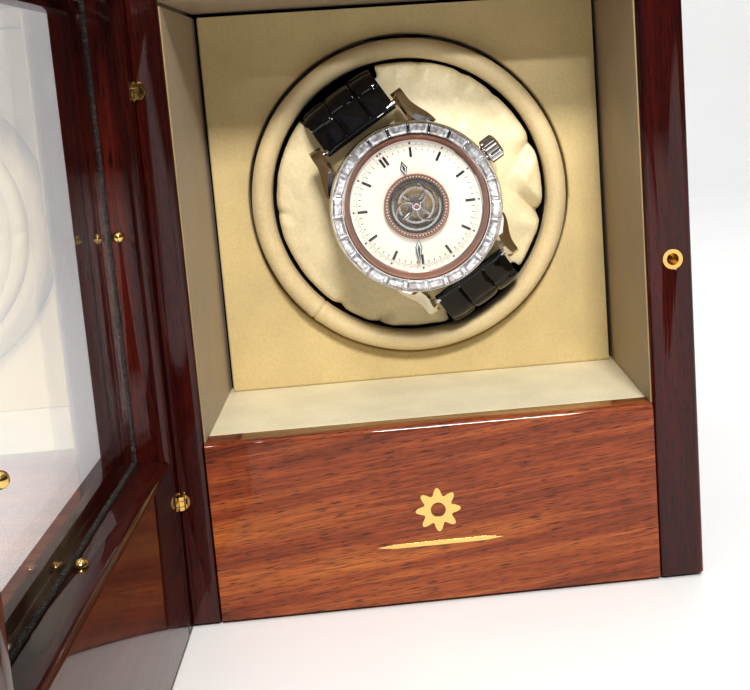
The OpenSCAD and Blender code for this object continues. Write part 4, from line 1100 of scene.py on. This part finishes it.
def groove(d, x, rows):
    """Depth of the hide at distance d along and x across: grooves round pillowed scales."""
    left = -3.4 + 0.5 * noise.noise(Vector((d * 0.25, 1, 0)))
    right = 3.5 + 0.5 * noise.noise(Vector((d * 0.25, 7, 0)))
    column = 0 if x < left else (1 if x < right else 2)
    wave = 0.5 * noise.noise(Vector((x * 0.3, column * 5, d * 0.05)))
    near = min(abs(x - left), abs(x - right), min(abs(d + wave - place) for place in rows[column]))
    return 0.40 * math.exp(-(near / 0.24) ** 2) + 0.32 * math.exp(-near / 1.1)


def strap_half(side, off, reach, seed):
    width, half = 19.0, 1.2
    columns = 76
    rows_at = scale_rows(seed)
    rows = []
    for d, y, z, oy, oz in strap_path(side, off, reach):
        thick = math.sqrt(max(0.02, half * half - d * d)) if d < 0 else half
        outer, inner = [], []
        for j in range(columns + 1):
            x = -width / 2 + width * j / columns
            edge = abs(x) / (width / 2)
            crown = 1.0 - 0.55 * edge ** 5
            cut = groove(d, x, rows_at) * min(1.0, max(0.0, d + 0.6)) if edge < 0.985 else 0.1
            height = thick * crown - cut
            outer.append((x, y + oy * height, z + oz * height))
            inner.append((x, y - oy * thick * 0.92, z - oz * thick * 0.92))
        rows.append(outer + inner[::-1])
    vertices, faces = bridge(rows, turn=False)
    n = len(rows[0])
    return vertices, faces + [tuple(range(n)), tuple(range(len(vertices) - n, len(vertices)))]


def add_strap():
    on_watch("hide_upper", strap_half(30.7, 0.0, 1.0, 3), "hide", ("strap_upper",), 50)
    flip = ON_WATCH @ Matrix.Rotation(math.pi, 4, "Z")
    add_piece("hide_lower", strap_half(29.1, 2.7, 14.0, 11), flip, "holder", "hide", ("strap_lower",), 50)
    bars = []
    for s in (-1, 1):
        pin = lathe([(0.01, -10.9), (0.6, -10.9), (0.75, -10.6), (0.75, 10.6), (0.6, 10.9), (0.01, 10.9)], 24)
        across = Matrix.Rotation(math.pi / 2, 4, "Y")
        bars.append(moved(pin, Matrix.Translation((0, s * BAR_Y, BAR_Z)) @ across))
    on_watch("spring_bars", joined(*bars), "steel")
    add_buckle()


def add_buckle():
    """Pin buckle behind the cushion: a round-cornered frame bent from square wire."""
    half_x, half_y, corner, wire = 11.0, 2.7, 1.6, 0.55
    path = []
    for cx, cy, start in ((1, 1, 0), (-1, 1, 90), (-1, -1, 180), (1, -1, 270)):
        path += [(x, y, a) for (x, y), a in zip(
            arc(cx * (half_x - corner), cy * (half_y - corner), corner, start, start + 90, 6),
            range(start, start + 91, 15))]
    rows = []
    for x, y, a in path:
        nx, ny = math.cos(math.radians(a)), math.sin(math.radians(a))
        rows.append([(x + nx * wire * c, y + ny * wire * c, wire * s)
                     for c, s in ((-1, -1), (1, -1), (1, 1), (-1, 1))])
    tongue = prism([(-0.6, -3.2), (0.6, -3.2), (0.45, 3.4), (-0.45, 3.4)], -0.5, 0.4, 0.1, 0.1)
    place = ON_WATCH @ Matrix.Translation((0, -4.4, -44.3))
    add_piece("pin_buckle", joined(bridge(rows), tongue), place, "holder", "steel")


# ---------- mechanism and rear controls ----------

def add_mechanism():
    softened("module_bracket", 0.3, "bracket")
    dress("bronze", "shaft_bush")
    softened("gearbox", 0.5, "motor")
    softened("motor_can", 0.8, "motor", 3)
    dress("rubber", "drive_belt")
    dress("board", "circuit_board")
    dress("wire", "wiring")
    dress("screw", "bracket_screws", "cover_screws", "drum_shaft")
    dress("white", "drum_pulley")
    dress("brass", "motor_pulley")
    dress("gilt", "watch_movement")
    softened("rear_cover", 0.4, "black", 3)
    softened("dc_jack", 0.15, "black")
    for knob in ("direction_knob", "turns_knob"):
        softened(knob, 0.25, "knob")
    softened("power_rocker", 0.3, "knob", 3)


def add_floor():
    """White table that curves up into a backdrop behind the case."""
    half, radius, bend_y = 1.8, 0.4, 0.7
    lo = floor_z - 0.1 * MM
    path = [(-half, 0.0), (bend_y, 0.0)]
    path += [(bend_y + radius * math.sin(a), radius - radius * math.cos(a))
             for a in (math.radians(5 * i) for i in range(1, 19))]
    path.append((bend_y + radius, half))
    rows = [[(-half, y, lo + z), (half, y, lo + z)] for y, z in path]
    vertices, faces = bridge(rows, loop=False, turn=False)
    mesh = bpy.data.meshes.new("table")
    mesh.from_pydata(vertices, [], faces)
    mesh.shade_smooth()
    mesh.materials.append(white_table().material)
    table = linked("table", mesh)


add_camera()
add_studio()
add_floor()
add_case()
add_fascia()
add_door()
add_ring()
add_cushion()
add_case_and_bezel()
add_bezel_stones()
add_dial()
add_crystal()
add_hands()
add_tourbillon()
add_crown()
add_strap()
add_mechanism()
